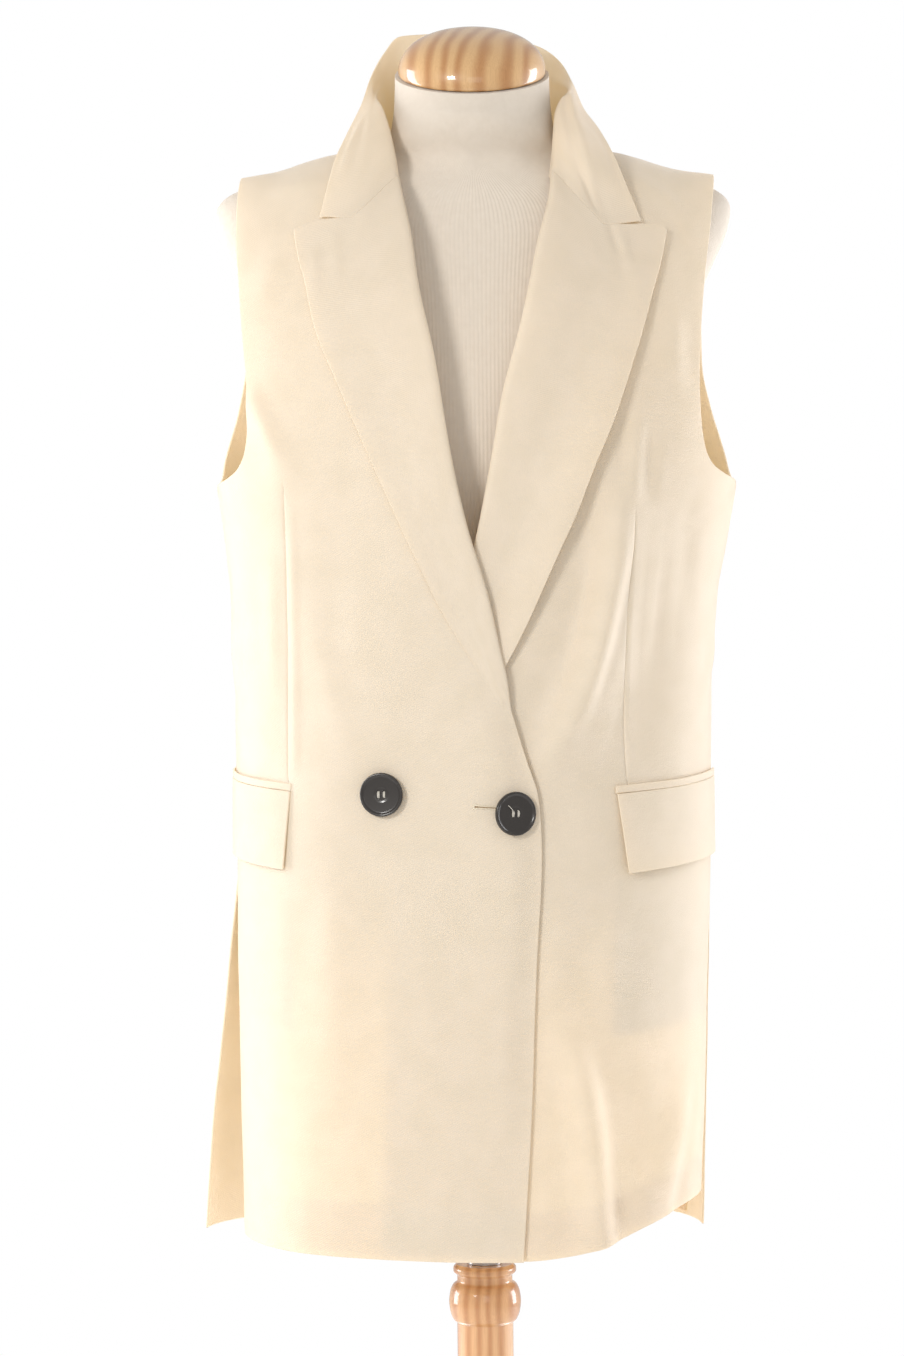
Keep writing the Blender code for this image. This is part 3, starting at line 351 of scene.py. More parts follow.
def crease_height(s, z, line, left, right, height, start, end, flank):
    """How far one crease lifts each (girth, z) place."""
    curve = smooth_line(line, CURVE_POINTS)
    reach = CREASE_REACH * max(left, right)
    low, high = curve.min(0) - reach, curve.max(0) + reach
    inside = (s > low[0]) & (s < high[0]) & (z > low[1]) & (z < high[1])
    lifted = np.zeros(s.shape)
    if not inside.any():
        return lifted
    places = np.stack([s[inside], z[inside]], -1)
    run = np.diff(curve, axis=0)
    size = np.sum(run * run, -1)
    offset = places[:, None] - curve[None, :-1]
    share = np.clip(np.sum(offset * run, -1) / size, 0, 1)
    away = offset - share[..., None] * run
    distance = np.linalg.norm(away, axis=-1)
    nearest = distance.argmin(1)
    pick = np.arange(len(places))
    side = run[nearest, 0] * away[pick, nearest, 1] - run[nearest, 1] * away[pick, nearest, 0]
    along = np.sqrt(size)
    reached = (np.cumsum(along) - along)[nearest] + share[pick, nearest] * along[nearest]
    reached = reached / along.sum()
    gap = distance[pick, nearest] / np.where(side > 0, left, right)
    profile = np.exp(-(gap**2)) - flank * np.exp(-(((gap - FLANK_PLACE) / FLANK_WIDTH) ** 2))
    taper = ease(reached, 0, start) if start > 0 else 1
    if end > 0:
        taper = taper * (1 - ease(reached, 1 - end, 1))
    lifted[inside] = height * profile * taper
    return lifted


RIPPLE = 0.00045


def ripple(s, z):
    """The slight unevenness of cloth that hangs free."""
    waves = np.sin(31 * s + 11 * z + 0.6) * np.sin(17 * z - 23 * s + 1.9)
    waves = waves + 0.6 * np.sin(53 * s - 19 * z + 4.1) * np.sin(29 * z + 37 * s + 0.4)
    waves = waves + 0.35 * np.sin(97 * s + 41 * z + 2.2) * np.sin(61 * z - 71 * s + 5.0)
    return RIPPLE * waves


def cloth_height(angle, z):
    s = girth(angle)
    total = ripple(s, z)
    for group, flank in ((CREASES, FLANK), (SEAMS, 0.0)):
        for crease in group:
            total = total + crease_height(s, z, *crease, flank)
    return total


def normals(points, outward):
    """Unit normals of a grid of points, on the side that `outward` points to."""
    found = unit(np.cross(np.gradient(points, axis=0), np.gradient(points, axis=1)))
    return -found if np.sum(found * outward) < 0 else found


def from_axis(points):
    return points * np.array([1.0, 1.0, 0.0])


def draped(angle, z):
    """The garment's inner surface with its creases, for a grid of girth angles and heights."""
    base = garment(angle, z)
    return base + normals(base, from_axis(base)) * cloth_height(angle, z)[..., None]


# ---- Rows and columns of a panel ----
FINE = 320  # samples along a row before its points are spaced
ROW_START_Z = 1.370
ROW_ROUNDS = 40
# How far each row above the chest has turned, in degrees, from the crest down to the chest.
TURNS = np.concatenate([[90.1, 89.0, 88.0], np.linspace(86.4, 0, 46, endpoint=False)])
ROW_STEPS = 6  # fine rows to each one of ROW_HEIGHTS
LAST_ROWS = np.array([0.087, 0.035, 0.0])  # where the last fine rows lie, before the lowest height
EDGE_STEPS = (0.0012, 0.0030)  # the first columns lie close to the edge, so that it can be rounded


def edge_spaced(start, end, count, near_start=True, near_end=True):
    """Even distances between start and end, with closer ones beside a free edge."""
    steps = [start]
    last = []
    if near_start:
        steps += [start + step for step in EDGE_STEPS]
    if near_end:
        last = [end - step for step in EDGE_STEPS[::-1]]
    last.append(end)
    between = np.linspace(steps[-1], last[0], count - len(steps) - len(last) + 2)[1:-1]
    return np.concatenate([steps, between, last])


def shoulder_row(turn, angle_from, angle_to, top_of, spread):
    share = np.linspace(0, 1, FINE)
    z = np.full(FINE, ROW_START_Z)
    for _ in range(ROW_ROUNDS):
        angle = angle_from(z) * (1 - share) + angle_to(z) * share
        x = garment(angle, z)[:, 0]
        z = 0.5 * z + 0.5 * (CHEST_Z + (top_of(x) - CHEST_Z) * np.sin(np.radians(turn)))
    return spread_row(angle, z, spread)


def level_row(z, angle_start, angle_end, spread):
    share = np.linspace(0, 1, FINE)
    return spread_row(angle_start * (1 - share) + angle_end * share, z, spread)


def spread_row(angle, z, spread):
    points = garment(angle, z)
    length = lengths(points)
    return points_at(np.column_stack([angle, z]), length, spread(points, length))


def fine_heights(rows):
    """The rows below the chest, with the last ones close to the hem."""
    rows = np.array(rows)
    index = np.arange(len(rows), dtype=float)
    where = np.linspace(0, index[-1], (len(rows) - 1) * ROW_STEPS + 1)
    where = np.concatenate([where[:-1], index[-1] - LAST_ROWS])
    return np.column_stack([hermite(index, column, where) for column in rows.T])


HEM_BEND_Z = 0.680  # the rows below this height bend towards the hem line


def hem_drop(x, z):
    """Moves the lowest rows of a front so that the last one follows the hem line."""
    return z + (FRONT_HEM("z", x) - HEM_Z) * ease(z, HEM_BEND_Z, HEM_Z)


# ---- Fronts ----
# The edge that faces the opening: the roll line down to the break, then the free front edge.
RIGHT_EDGE = Table("z x", [
    (1.379, -0.088), (1.368, -0.072), (1.351, -0.0605), (1.33, -0.0565), (1.299, -0.0515),
    (1.263, -0.047), (1.204, -0.035), (1.147, -0.026), (1.085, -0.0125), (1.033, 0.0025), (0.98, 0.0145),
    (0.933, 0.0265), (0.89, 0.0405), (0.848, 0.043), (0.758, 0.0385), (0.656, 0.034), (0.55, 0.027),
])
LEFT_EDGE = Table("z x", [
    (1.379, 0.088), (1.374, 0.074), (1.362, 0.0615), (1.333, 0.0595), (1.288, 0.05), (1.235, 0.0385),
    (1.174, 0.022), (1.14, 0.0155), (1.071, 0.0005), (1, -0.019), (0.93, -0.043), (0.886, -0.06),
    (0.84, -0.066), (0.7, -0.07), (0.55, -0.074),
])
# Front and back armhole edges: distance out from the middle, as seen from the front.
ARMHOLE = Table("z right_front left_front right_back left_back", [
    (1.36, 0.178, 0.185, 0.178, 0.185), (1.335, 0.179, 0.1805, 0.179, 0.182),
    (1.306, 0.1785, 0.176, 0.1785, 0.1795), (1.276, 0.1765, 0.1712, 0.179, 0.179),
    (1.224, 0.172, 0.1662, 0.18, 0.1795), (1.185, 0.169, 0.1645, 0.186, 0.186),
    (1.16, 0.1695, 0.1655, 0.192, 0.192), (1.145, 0.1715, 0.168, 0.195, 0.195),
    (1.133, 0.177, 0.174, 0.1965, 0.1965), (1.126, 0.187, 0.1855, 0.198, 0.198),
    (1.123, 0.1985, 0.1985, 0.1985, 0.1985),
])
ARMHOLE_Z = 1.123
# Girth angle of each side seam, in degrees from the front, and how far the vent's two edges part.
SIDE = Table("z right left right_front left_front right_back left_back", [
    (1.13, 90, 90, 0, 0, 0, 0), (0.822, 90, 88, 0, 0, 0, 0), (0.78, 90, 87.8, 1.5, 1.5, 0.5, 1),
    (0.7, 90, 87.6, 4, 4, 2, 3), (0.54, 90, 87.5, 6.5, 8.5, 4, 5),
])
FRONT_HEM = Table("x z", [
    (-0.19, 0.554), (-0.1, 0.553), (0.03, 0.55), (0.062, 0.5525), (0.086, 0.5575), (0.127, 0.573),
    (0.16, 0.584), (0.185, 0.586),
])
# Heights of each row below the chest, at the opening's edge (or the middle back) and at the side.
ROW_HEIGHTS = (
    (1.22, 1.22), (1.185, 1.19), (1.15, 1.165), (1.118, 1.146), (1.092, 1.133), (1.068, 1.126),
    (1.046, 1.123), (1.022, 1.096), (0.996, 1.06), (0.968, 1.022), (0.938, 0.982), (0.908, 0.942),
    (0.876, 0.902), (0.844, 0.862), (0.81, 0.822), (0.772, 0.78), (0.735, 0.74), (0.697, 0.7),
    (0.66, 0.66), (0.622, 0.622), (0.586, 0.586), (HEM_Z, HEM_Z),
)
ROW_BEND = 1.5  # how late a row turns from its inner height to its side height
HALF_SEAM_ANGLE = -0.0002 / GIRTH_R  # sewn together: the rounded edges meet in a fine groove

# The top front climbs onto the one below between these distances outside the hidden edge.
OVERLAP_BLEND = 0.108
OVERLAP_MARGIN = 0.035
# How far the top front stands off where the other front and its lapel lie under it.
TOP_LIFT = Table("z lift", [
    (0.54, 0.0036), (0.84, 0.004), (0.91, 0.006), (1.1, 0.0062), (1.25, 0.004), (1.38, 0),
])
# Beside its free edge the top front stands off a little, and the edge itself turns back.
EDGE_RISE = 0.0030
EDGE_RISE_REACH = (0.022, 0.085)
EDGE_CURL = 0.0034
EDGE_CURL_REACH = 0.024
EDGE_BAND = (0.58, 0.74, 0.93, 0.99)  # heights between which it does so


def top_lift(points):
    """Extra height of the top front over the hidden layers, fading towards its own side seam."""
    x, z = points[..., 0], points[..., 2]
    hidden = LEFT_EDGE("x", z)
    lift = TOP_LIFT("lift", z) * ease(x, hidden - OVERLAP_BLEND, hidden - OVERLAP_MARGIN)
    from_edge = RIGHT_EDGE("x", z) - x
    beside = band(z, *EDGE_BAND)
    rise = EDGE_RISE * (1 - ease(from_edge, *EDGE_RISE_REACH)) * beside
    curl = EDGE_CURL * (1 - ease(from_edge, 0, EDGE_CURL_REACH)) * beside
    return lift + rise - curl


# The columns gather at each front's dart, which these lines carry on up to the shoulder and the hem.
RIGHT_DART_LINE = Table("z x", [(0.54, 0.14), (0.9, 0.14), (1.034, 0.141), (1.124, 0.142), (1.4, 0.132)])
LEFT_DART_LINE = Table("z x", [(0.54, 0.108), (0.896, 0.107), (1.031, 0.107), (1.1, 0.112), (1.4, 0.124)])
DART_STEPS = np.array([-4.6, -3.0, -1.9, -1.2, -0.7, -0.3, 0, 0.3, 0.7, 1.2, 1.9, 3.0, 4.6]) * MM
TO_DART = 68  # columns before a front's dart, and past it
PAST_DART = 30


def front_spread(dart, sign):
    def spread(points, length):
        before = sign * points[:, 0] - dart("x", points[:, 2])
        at = np.interp(0, before, length)
        first = edge_spaced(0, at + DART_STEPS[0], TO_DART, near_end=False)
        last = edge_spaced(at + DART_STEPS[-1], length[-1], PAST_DART, near_start=False)
        return np.concatenate([first, at + DART_STEPS[1:-1], last])

    return spread


def front_grid(edge, side, sign, dart):
    """Girth angles and heights of a front, from the opening's edge to the armhole and side."""

    def from_edge(z):
        return angle_at(edge("x", z), z)

    def to_side(z):
        arm = np.abs(angle_at(sign * ARMHOLE(side + "_front", z), z))
        seam = np.radians(SIDE(side, z) - SIDE(side + "_front", z))
        return sign * (np.where(z > ARMHOLE_Z, arm, seam) - HALF_SEAM_ANGLE)

    def top(x):
        return crest_z(x, False)

    spread = front_spread(dart, sign)
    rows = [shoulder_row(t, from_edge, to_side, top, spread) for t in TURNS]
    share = np.linspace(0, 1, FINE)
    for inner, outer in fine_heights(ROW_HEIGHTS):
        z = inner + (outer - inner) * share**ROW_BEND
        rows.append(level_row(z, from_edge(inner), to_side(outer), spread))
    grid = np.array(rows)
    x = garment(grid[..., 0], grid[..., 1])[..., 0]
    grid[..., 1] = hem_drop(x, grid[..., 1])
    return grid


# ---- Back ----
# How far the back stands out beside each vent, by height: it swings wider on the right side.
VENT_FLARE = Table("z right left", [
    (0.54, 0.034, 0.004), (0.625, 0.026, 0.003), (0.73, 0.012, 0.002), (0.83, 0, 0),
])
FLARE_REACH = np.radians(38)
BACK_DART_S = 0.080  # from the middle seam to each waist dart
BACK_BETWEEN = 24  # columns between the middle seam and a dart, and outside the darts
BACK_OUTER = 26


def back_spread(points, length):
    """Columns gather at both waist darts and at the middle seam."""
    total = length[-1]
    middle = np.interp(0, -points[:, 0], length)
    left = middle - BACK_DART_S
    right = middle + BACK_DART_S
    step = DART_STEPS
    return np.concatenate(
        [
            edge_spaced(0, left + step[0], BACK_OUTER, near_end=False),
            left + step[1:-1],
            np.linspace(left + step[-1], middle + step[0], BACK_BETWEEN),
            middle + step[1:-1],
            np.linspace(middle + step[-1], right + step[0], BACK_BETWEEN),
            right + step[1:-1],
            edge_spaced(right + step[-1], total, BACK_OUTER, near_start=False),
        ]
    )


def back_grid():
    def edge_angle(side, z):
        arm = np.abs(angle_at(ARMHOLE(side + "_back", z) + GARMENT("shift", z), z))
        seam = np.pi - np.radians(SIDE(side, z) + SIDE(side + "_back", z))
        return np.where(z > ARMHOLE_Z, arm, seam) - HALF_SEAM_ANGLE

    def from_left(z):
        return np.pi - edge_angle("left", z)

    def to_right(z):
        return np.pi + edge_angle("right", z)

    def top(x):
        return np.where(np.abs(x) < SEAM_END_X, BACK_NECK("z", np.abs(x)), crest_z(x, True))

    rows = [shoulder_row(t, from_left, to_right, top, back_spread) for t in TURNS]
    from_middle = np.abs(np.linspace(-1, 1, FINE))
    for inner, outer in fine_heights(ROW_HEIGHTS):
        z = inner + (outer - inner) * from_middle**ROW_BEND
        rows.append(level_row(z, from_left(outer), to_right(outer), back_spread))
    return np.array(rows)


def back_points(grid):
    angle, z = grid[..., 0], grid[..., 1]
    smooth = garment(angle, z)
    right = ease(angle, 1.5 * np.pi - FLARE_REACH, 1.5 * np.pi) * VENT_FLARE("right", z)
    left = ease(angle, 0.5 * np.pi + FLARE_REACH, 0.5 * np.pi) * VENT_FLARE("left", z)
    return draped(angle, z) + normals(smooth, from_axis(smooth)) * (right + left)[..., None]


# ---- Meshes ----
def add_mesh(name, vertices, faces, material, uv=None, smooth=True, sharp=None):
    mesh = bpy.data.meshes.new(name)
    mesh.from_pydata(np.asarray(vertices).tolist(), [], [tuple(int(i) for i in f) for f in faces])
    work = bmesh.new()
    work.from_mesh(mesh)
    bmesh.ops.recalc_face_normals(work, faces=work.faces)
    work.to_mesh(mesh)
    work.free()
    if smooth:
        mesh.shade_smooth()
    if sharp is not None:
        mesh.set_sharp_from_angle(angle=np.radians(sharp))
    if uv is not None:
        layer = mesh.uv_layers.new(name="UVMap")
        corners = np.zeros(len(mesh.loops), dtype=np.int32)
        mesh.loops.foreach_get("vertex_index", corners)
        layer.data.foreach_set("uv", np.asarray(uv, np.float32)[corners].ravel())
    mesh.materials.append(material)
    piece = bpy.data.objects.new(name, mesh)
    bpy.context.scene.collection.objects.link(piece)
    return piece


RIM_TURNS = np.radians((-58, -30, 0, 30, 58))
RIM_DEPTH = 0.0007


def shell(name, middle, up, material, uv, thick=CLOTH):
    """A closed sheet round a grid of middle points, with all its edges rounded."""
    rows, columns = middle.shape[:2]
    count = rows * columns
    index = np.arange(count).reshape(rows, columns)
    rim = np.concatenate([index[0, :-1], index[:-1, -1], index[-1, :0:-1], index[:0:-1, 0]])
    flat_middle = middle.reshape(-1, 3).copy()
    flat_up = up.reshape(-1, 3)
    edge = flat_middle[rim]
    out = unit(np.cross(np.roll(edge, -1, axis=0) - np.roll(edge, 1, axis=0), flat_up[rim]))
    inner_row = np.clip(rim // columns, 1, rows - 2)
    inner_column = np.clip(rim % columns, 1, columns - 2)
    towards = edge - flat_middle[inner_row * columns + inner_column]
    if np.sum(out * towards) < 0:
        out = -out
    depth = np.minimum(RIM_DEPTH, 0.5 * np.linalg.norm(towards, axis=1, keepdims=True))
    flat_middle[rim] = edge - out * depth
    half = flat_up * thick / 2
    loops = []
    for turn in RIM_TURNS:
        bulge = out * depth * np.cos(turn) + flat_up[rim] * (thick / 2) * np.sin(turn)
        loops.append(flat_middle[rim] + bulge)
    vertices = np.concatenate([flat_middle - half, flat_middle + half] + loops)
    cells = np.stack([index[:-1, :-1], index[:-1, 1:], index[1:, 1:], index[1:, :-1]], -1).reshape(-1, 4)
    faces = [cells, cells[:, ::-1] + count]
    around = [2 * count + k * len(rim) + np.arange(len(rim)) for k in range(len(loops))]
    ring = [rim, *around, rim + count]
    for low, high in zip(ring[:-1], ring[1:]):
        faces.append(np.stack([low, high, np.roll(high, -1), np.roll(low, -1)], -1))
    flat_uv = np.asarray(uv, float).reshape(-1, 2)
    uvs = np.concatenate([flat_uv, flat_uv] + [flat_uv[rim]] * len(loops))
    return add_mesh(name, vertices, np.concatenate(faces), material, uvs)


def sheet_on(name, points, out, material, uv, thick=CLOTH):
    """A sheet whose inner side stands `out` above a grid of points."""
    up = normals(points, from_axis(points))
    out = np.broadcast_to(out, points.shape[:2])[..., None]
    return shell(name, points + up * (out + thick / 2), up, material, uv, thick)


def ring_faces(rings):
    """Faces between rings of vertex numbers, of which a ring of one number is a tip."""
    faces = []
    for low, high in zip(rings[:-1], rings[1:]):
        sides = max(len(low), len(high))
        for k in range(sides):
            after = (k + 1) % sides
            lower = (low[0],) if len(low) == 1 else (low[k], low[after])
            upper = (high[0],) if len(high) == 1 else (high[after], high[k])
            faces.append(lower + upper)
    return faces


def cross_directions(axis):
    """Two directions across an axis, the first one level."""
    helper = (0, 0, 1.0) if abs(axis[2]) < 0.9 else (1.0, 0, 0)
    side = unit(np.cross(helper, axis))
    return side, np.cross(axis, side)


def full_turn(sides):
    return np.linspace(0, 2 * np.pi, sides, endpoint=False)


def lathe_mesh(name, profile, sides, material, place=(0, 0, 0), axis=(0, 0, 1.0), sharp=40, relief=None):
    """A closed turned solid. The profile is (radius, height) from one end of the axis to the other."""
    axis = unit(np.array(axis))
    side, other = cross_directions(axis)
    vertices, rings = [], []
    for radius, height in profile:
        turn = full_turn(sides if radius > 1e-6 else 1)
        rings.append(range(len(vertices), len(vertices) + len(turn)))
        for x, y in zip(radius * np.cos(turn), radius * np.sin(turn)):
            depth = relief(x, y, height) if relief else 0
            vertices.append(place + axis * (height - depth) + side * x + other * y)
    return add_mesh(name, vertices, ring_faces(rings), material, sharp=sharp)


# ---- Materials ----
def linear(r, g, b):
    """A colour given in 0 to 255 steps, as light."""
    values = np.array([r, g, b]) / 255
    return tuple(np.where(values <= 0.04045, values / 12.92, ((values + 0.055) / 1.055) ** 2.4)) + (1.0,)


class Surface:
    """A material whose tones and relief come from textures in UV or object coordinates."""

    def __init__(self, name, **settings):
        self.material = bpy.data.materials.new(name)
        self.material.use_nodes = True
        self.nodes = self.material.node_tree.nodes
        self.shader = self.nodes["Principled BSDF"]
        self.normal = None
        self.set_inputs(self.shader, settings)

    def set_inputs(self, node, settings):
        """Sets a node's inputs, or links them where an output is given."""
        for key, value in settings.items():
            socket = node.inputs[key.replace("_", " ")]
            if isinstance(value, bpy.types.NodeSocket):
                self.material.node_tree.links.new(value, socket)
            else:
                socket.default_value = value

    def node(self, kind, **settings):
        made = self.nodes.new("ShaderNode" + kind)
        self.set_inputs(made, settings)
        return made

    def texture(self, kind, coordinates, scale, turn=(0, 0, 0), **settings):
        """The output of a noise or wave texture, stretched and turned."""
        source = self.node("TexCoord").outputs[coordinates]
        placed = self.node("Mapping", Scale=scale, Rotation=turn, Vector=source)
        if kind == "Wave":
            settings["Scale"] = 1
        return self.node("Tex" + kind, Vector=placed.outputs["Vector"], **settings).outputs["Fac"]

    def tones(self, factor, low, high, start=0.0, end=1.0):
        ramp = self.node("ValToRGB", Fac=factor)
        ends = ramp.color_ramp.elements
        ends[0].color, ends[1].color = linear(*low), linear(*high)
        ends[0].position, ends[1].position = start, end
        return ramp.outputs["Color"]

    def bump(self, height, strength, distance):
        """Adds relief on top of the relief before it."""
        before = {} if self.normal is None else {"Normal": self.normal}
        node = self.node("Bump", Strength=strength, Distance=distance, Height=height, **before)
        self.normal = node.outputs["Normal"]

    def finish(self, colour):
        self.set_inputs(self.shader, {"Base Color": colour, "Normal": self.normal})
        return self.material


TWILL_TURN = (0, 0, np.radians(62))


def cloth_material(name, low, high, through, translucent):
    """Twill: fine slanting lines with slubs, a soft sheen, and light that comes through the cloth."""
    cloth = Surface(name, Roughness=0.62, Specular_IOR_Level=0.3, Sheen_Weight=0.65, Sheen_Roughness=0.34)
    tone = cloth.texture("Noise", "UV", (9, 9, 9), Detail=1)
    wave = dict(Distortion=1.2, Detail=1, Detail_Scale=0.4)
    lines = cloth.texture("Wave", "UV", (210, 210, 210), TWILL_TURN, **wave)
    slub = cloth.texture("Noise", "UV", (900, 260, 1), TWILL_TURN, Detail=2)
    cloth.bump(lines, 0.34, 0.00016)
    cloth.bump(slub, 0.35, 0.00030)
    glow = cloth.node("BsdfTranslucent", Color=linear(*through), Normal=cloth.normal)
    mix = cloth.node("MixShader", Fac=translucent)
    links = cloth.material.node_tree.links
    links.new(cloth.shader.outputs["BSDF"], mix.inputs[1])
    links.new(glow.outputs["BSDF"], mix.inputs[2])
    links.new(mix.outputs["Shader"], cloth.nodes["Material Output"].inputs["Surface"])
    return cloth.finish(cloth.tones(tone, low, high, 0.35, 0.65))


def jersey_material():
    """Fine knitted ribs with fuzz."""
    jersey = Surface(
        "jersey", Roughness=0.85, Specular_IOR_Level=0.2, Sheen_Weight=0.25, Sheen_Roughness=0.5
    )
    tone = jersey.texture("Noise", "Object", (35, 35, 35))
    jersey.bump(jersey.texture("Wave", "UV", (260, 260, 260), Distortion=0.5), 0.5, 0.00030)
    jersey.bump(jersey.texture("Noise", "Object", (1300, 1300, 900)), 0.4, 0.00030)
    return jersey.finish(jersey.tones(tone, (219, 207, 192), (227, 216, 202)))


def wood_material(name, low, high, rings, bend, tilt, turn, stretch=(0.6, 0.1)):
    """Turned pale wood: year rings cut lengthwise, fine pores, and a clear lacquer."""
    wood = Surface(name, Roughness=0.4, Coat_Weight=0.9, Coat_Roughness=0.06)
    turned = (0, np.radians(tilt), np.radians(turn))
    wave = dict(Distortion=bend, Detail=3, Detail_Scale=0.7, Detail_Roughness=0.45)
    scale = (rings, rings * stretch[0], rings * stretch[1])
    bands = wood.texture("Wave", "Object", scale, turned, **wave)
    fine = (330, 12, 330) if stretch[0] < stretch[1] else (330, 330, 12)
    streaks = wood.texture("Noise", "Object", fine, turned, Detail=2)
    toned = wood.nodes.new("ShaderNodeMix")
    toned.data_type = "RGBA"
    toned.blend_type = "MULTIPLY"
    grain = wood.tones(streaks, (206, 190, 170), (255, 255, 255), 0.3, 0.6)
    wood.set_inputs(toned, dict(Factor=0.28, A=wood.tones(bands, low, high, 0.0, 0.85), B=grain))
    wood.bump(wood.texture("Noise", "Object", (900, 900, 60)), 0.12, 0.0002)
    return wood.finish(toned.outputs["Result"])


def grained_material(name, low, high, scale, relief, fine=None, detail=2, **settings):
    """Horn, metal, thread or the painted shade of the buttonhole's slit: a tone that varies with a noise,
    and relief from it or from a finer one.
    """
    made = Surface(name, **settings)
    tone = made.texture("Noise", "Object", scale, Detail=detail)
    made.bump(made.texture("Noise", "Object", fine) if fine else tone, *relief)
    return made.finish(made.tones(tone, low, high))


CLOTH_MAT = cloth_material("cream_twill", (244, 233, 215), (247, 236, 219), (255, 237, 195), 0.30)
# The hem turn-ups are the same twill as the panels. This lighter copy is painted light that offsets the
# shade falling on them inside the garment.
HEM_LIGHTENED_MAT = cloth_material("cream_twill_hem_painted_lighter", (247, 237, 222), (250, 240, 226), (255, 242, 214), 0.60)
BAG_MAT = cloth_material("pocket_bag_twill", (222, 214, 206), (228, 220, 212), (236, 226, 214), 0.20)
JERSEY = jersey_material()
CAP_WOOD = wood_material("cap_wood", (184, 132, 80), (214, 172, 120), 25.0, 7.0, -19, 24)
POLE_WOOD = wood_material("pole_wood", (200, 142, 92), (226, 176, 126), 36.0, 5.0, 2, 25)
BASE_WOOD = wood_material("base_wood", (206, 148, 98), (232, 182, 132), 17.0, 8.0, 0, 20, (0.12, 0.6))
HORN_FINE = (1400, 1400, 1400)
HORN = grained_material(
    "horn", (30, 26, 24), (48, 41, 36), (160, 160, 420), (0.08, 0.0001), HORN_FINE, 3,
    Roughness=0.3, Coat_Weight=0.35, Coat_Roughness=0.08,
)
STEEL = grained_material(
    "brushed_steel", (176, 176, 178), (205, 205, 206), (40, 40, 2600), (0.2, 0.0001),
    Metallic=1.0, Roughness=0.3,
)
# The last of these, hole_shadow, is painted shade: its dark brown stands for the shade inside the
# buttonhole's cut.
THREAD, STITCH, SLIT_SHADE = (
    grained_material(name, low, high, (2200, 2200, 2200), (0.5, 0.0002), Roughness=0.6)
    for name, low, high in (
        ("button_thread", (168, 162, 152), (222, 216, 204)),
        ("hole_thread", (226, 212, 188), (240, 229, 208)),
        ("hole_shadow", (122, 92, 58), (158, 124, 84)),
    )
)


def finish_piece(piece, slot, *nodes, **sheet):
    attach(piece, "root")
    if nodes:
        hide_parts(*nodes)
    return piece


def panel_uv(angles, heights):
    return np.stack([girth(angles), heights], -1)


# ---- Fronts and back ----
BACK_UV_R = 0.16  # metres of cloth to each radian of girth angle


def panels():
    """For each panel: its angles and heights, its draped points, how far it stands off them, its UV."""
    made = {}
    for side, edge, sign, dart in (
        ("right", RIGHT_EDGE, -1, RIGHT_DART_LINE),
        ("left", LEFT_EDGE, 1, LEFT_DART_LINE),
    ):
        grid = front_grid(edge, side, sign, dart)
        angles, heights = grid[..., 0], grid[..., 1]
        points = draped(angles, heights)
        lift = top_lift(points) if side == "right" else np.zeros(angles.shape)
        made[side] = (grid, points, lift, panel_uv(angles, heights))
    grid = back_grid()
    made["back"] = (grid, back_points(grid), np.zeros(grid.shape[:2]), grid * (BACK_UV_R, 1.0))
    return made


PANELS = panels()
PANEL_PIECES = {}
for side, node, flat, area in (
    ("right", "front_right", (0.315, 0.845), 0.2180),
    ("left", "front_left", (0.330, 0.845), 0.2230),
    ("back", "back", (0.500, 0.875), 0.3680),
):
    grid, points, lift, uv = PANELS[side]
    panel = sheet_on("vest_" + node, points, lift, CLOTH_MAT, uv)
    finish_piece(panel, "cream_cloth", node, flat=flat, area=area, held="hung", rests_on=["torso"])
    PANEL_PIECES[side] = panel


# ---- Lapels ----
# Each row runs from the fold to the outer edge. The top row follows the gorge and the peak.
LAPEL_COLUMNS = "z_fold x_outer z_outer roll"
RIGHT_LAPEL = Table(LAPEL_COLUMNS, [
    (1.344, -0.1335, 1.3085, 0.0034), (1.33, -0.131, 1.291, 0.0036), (1.299, -0.1252, 1.269, 0.0038),
    (1.263, -0.1175, 1.234, 0.0038), (1.204, -0.101, 1.191, 0.0036), (1.147, -0.079, 1.1385, 0.0032),
    (1.085, -0.052, 1.077, 0.0028), (1.033, -0.0285, 1.026, 0.0024), (0.98, -0.002, 0.98, 0.0018),
    (0.936, 0.02, 0.936, 0.0013),
])
LEFT_LAPEL = Table(LAPEL_COLUMNS, [
    (1.348, 0.141, 1.3045, 0.0034), (1.333, 0.1375, 1.286, 0.0036), (1.288, 0.129, 1.257, 0.0038),
    (1.235, 0.115, 1.212, 0.0036), (1.174, 0.096, 1.159, 0.0032), (1.14, 0.084, 1.131, 0.0028),
    (1.071, 0.059, 1.071, 0.0018), (1, 0.027, 1, 0.0013), (0.93, -0.013, 0.93, 0.0012),
    (0.9, -0.035, 0.9, 0.0012),
])
# Corners of the top row: where the gorge ends and the notch corner, as (x, z).
RIGHT_TOP = ((-0.0900, 1.3155), (-0.1165, 1.3150))
LEFT_TOP = ((0.0945, 1.3080), (0.1275, 1.3085), (0.1370, 1.3080))
ROLL_STEPS = 13
ROLL_TURN = (-90, 60)
ROLL_REACH = 0.75
ROLL_GAP = 0.0012
LAPEL_ROWS = 150
LAPEL_END_ROWS = (0.0012, 0.003, 0.006)  # the first rows below the top, and the last ones above the end
LAPEL_ACROSS = 56
LAPEL_UV_WIDTH = 0.09
TOP_ROW_REACH = 0.075
SINK_REACH = 0.045  # the lapel's lower end merges with the front's edge over this height
SUNK_DEPTH = 0.0011  # there its columns gather inside the front's cloth
SUNK_START = 0.0010
SUNK_STEP = 0.00012
STAND_REACH = (0.35, 1.0)  # shares of the lapel's width over which its edge comes to stand off
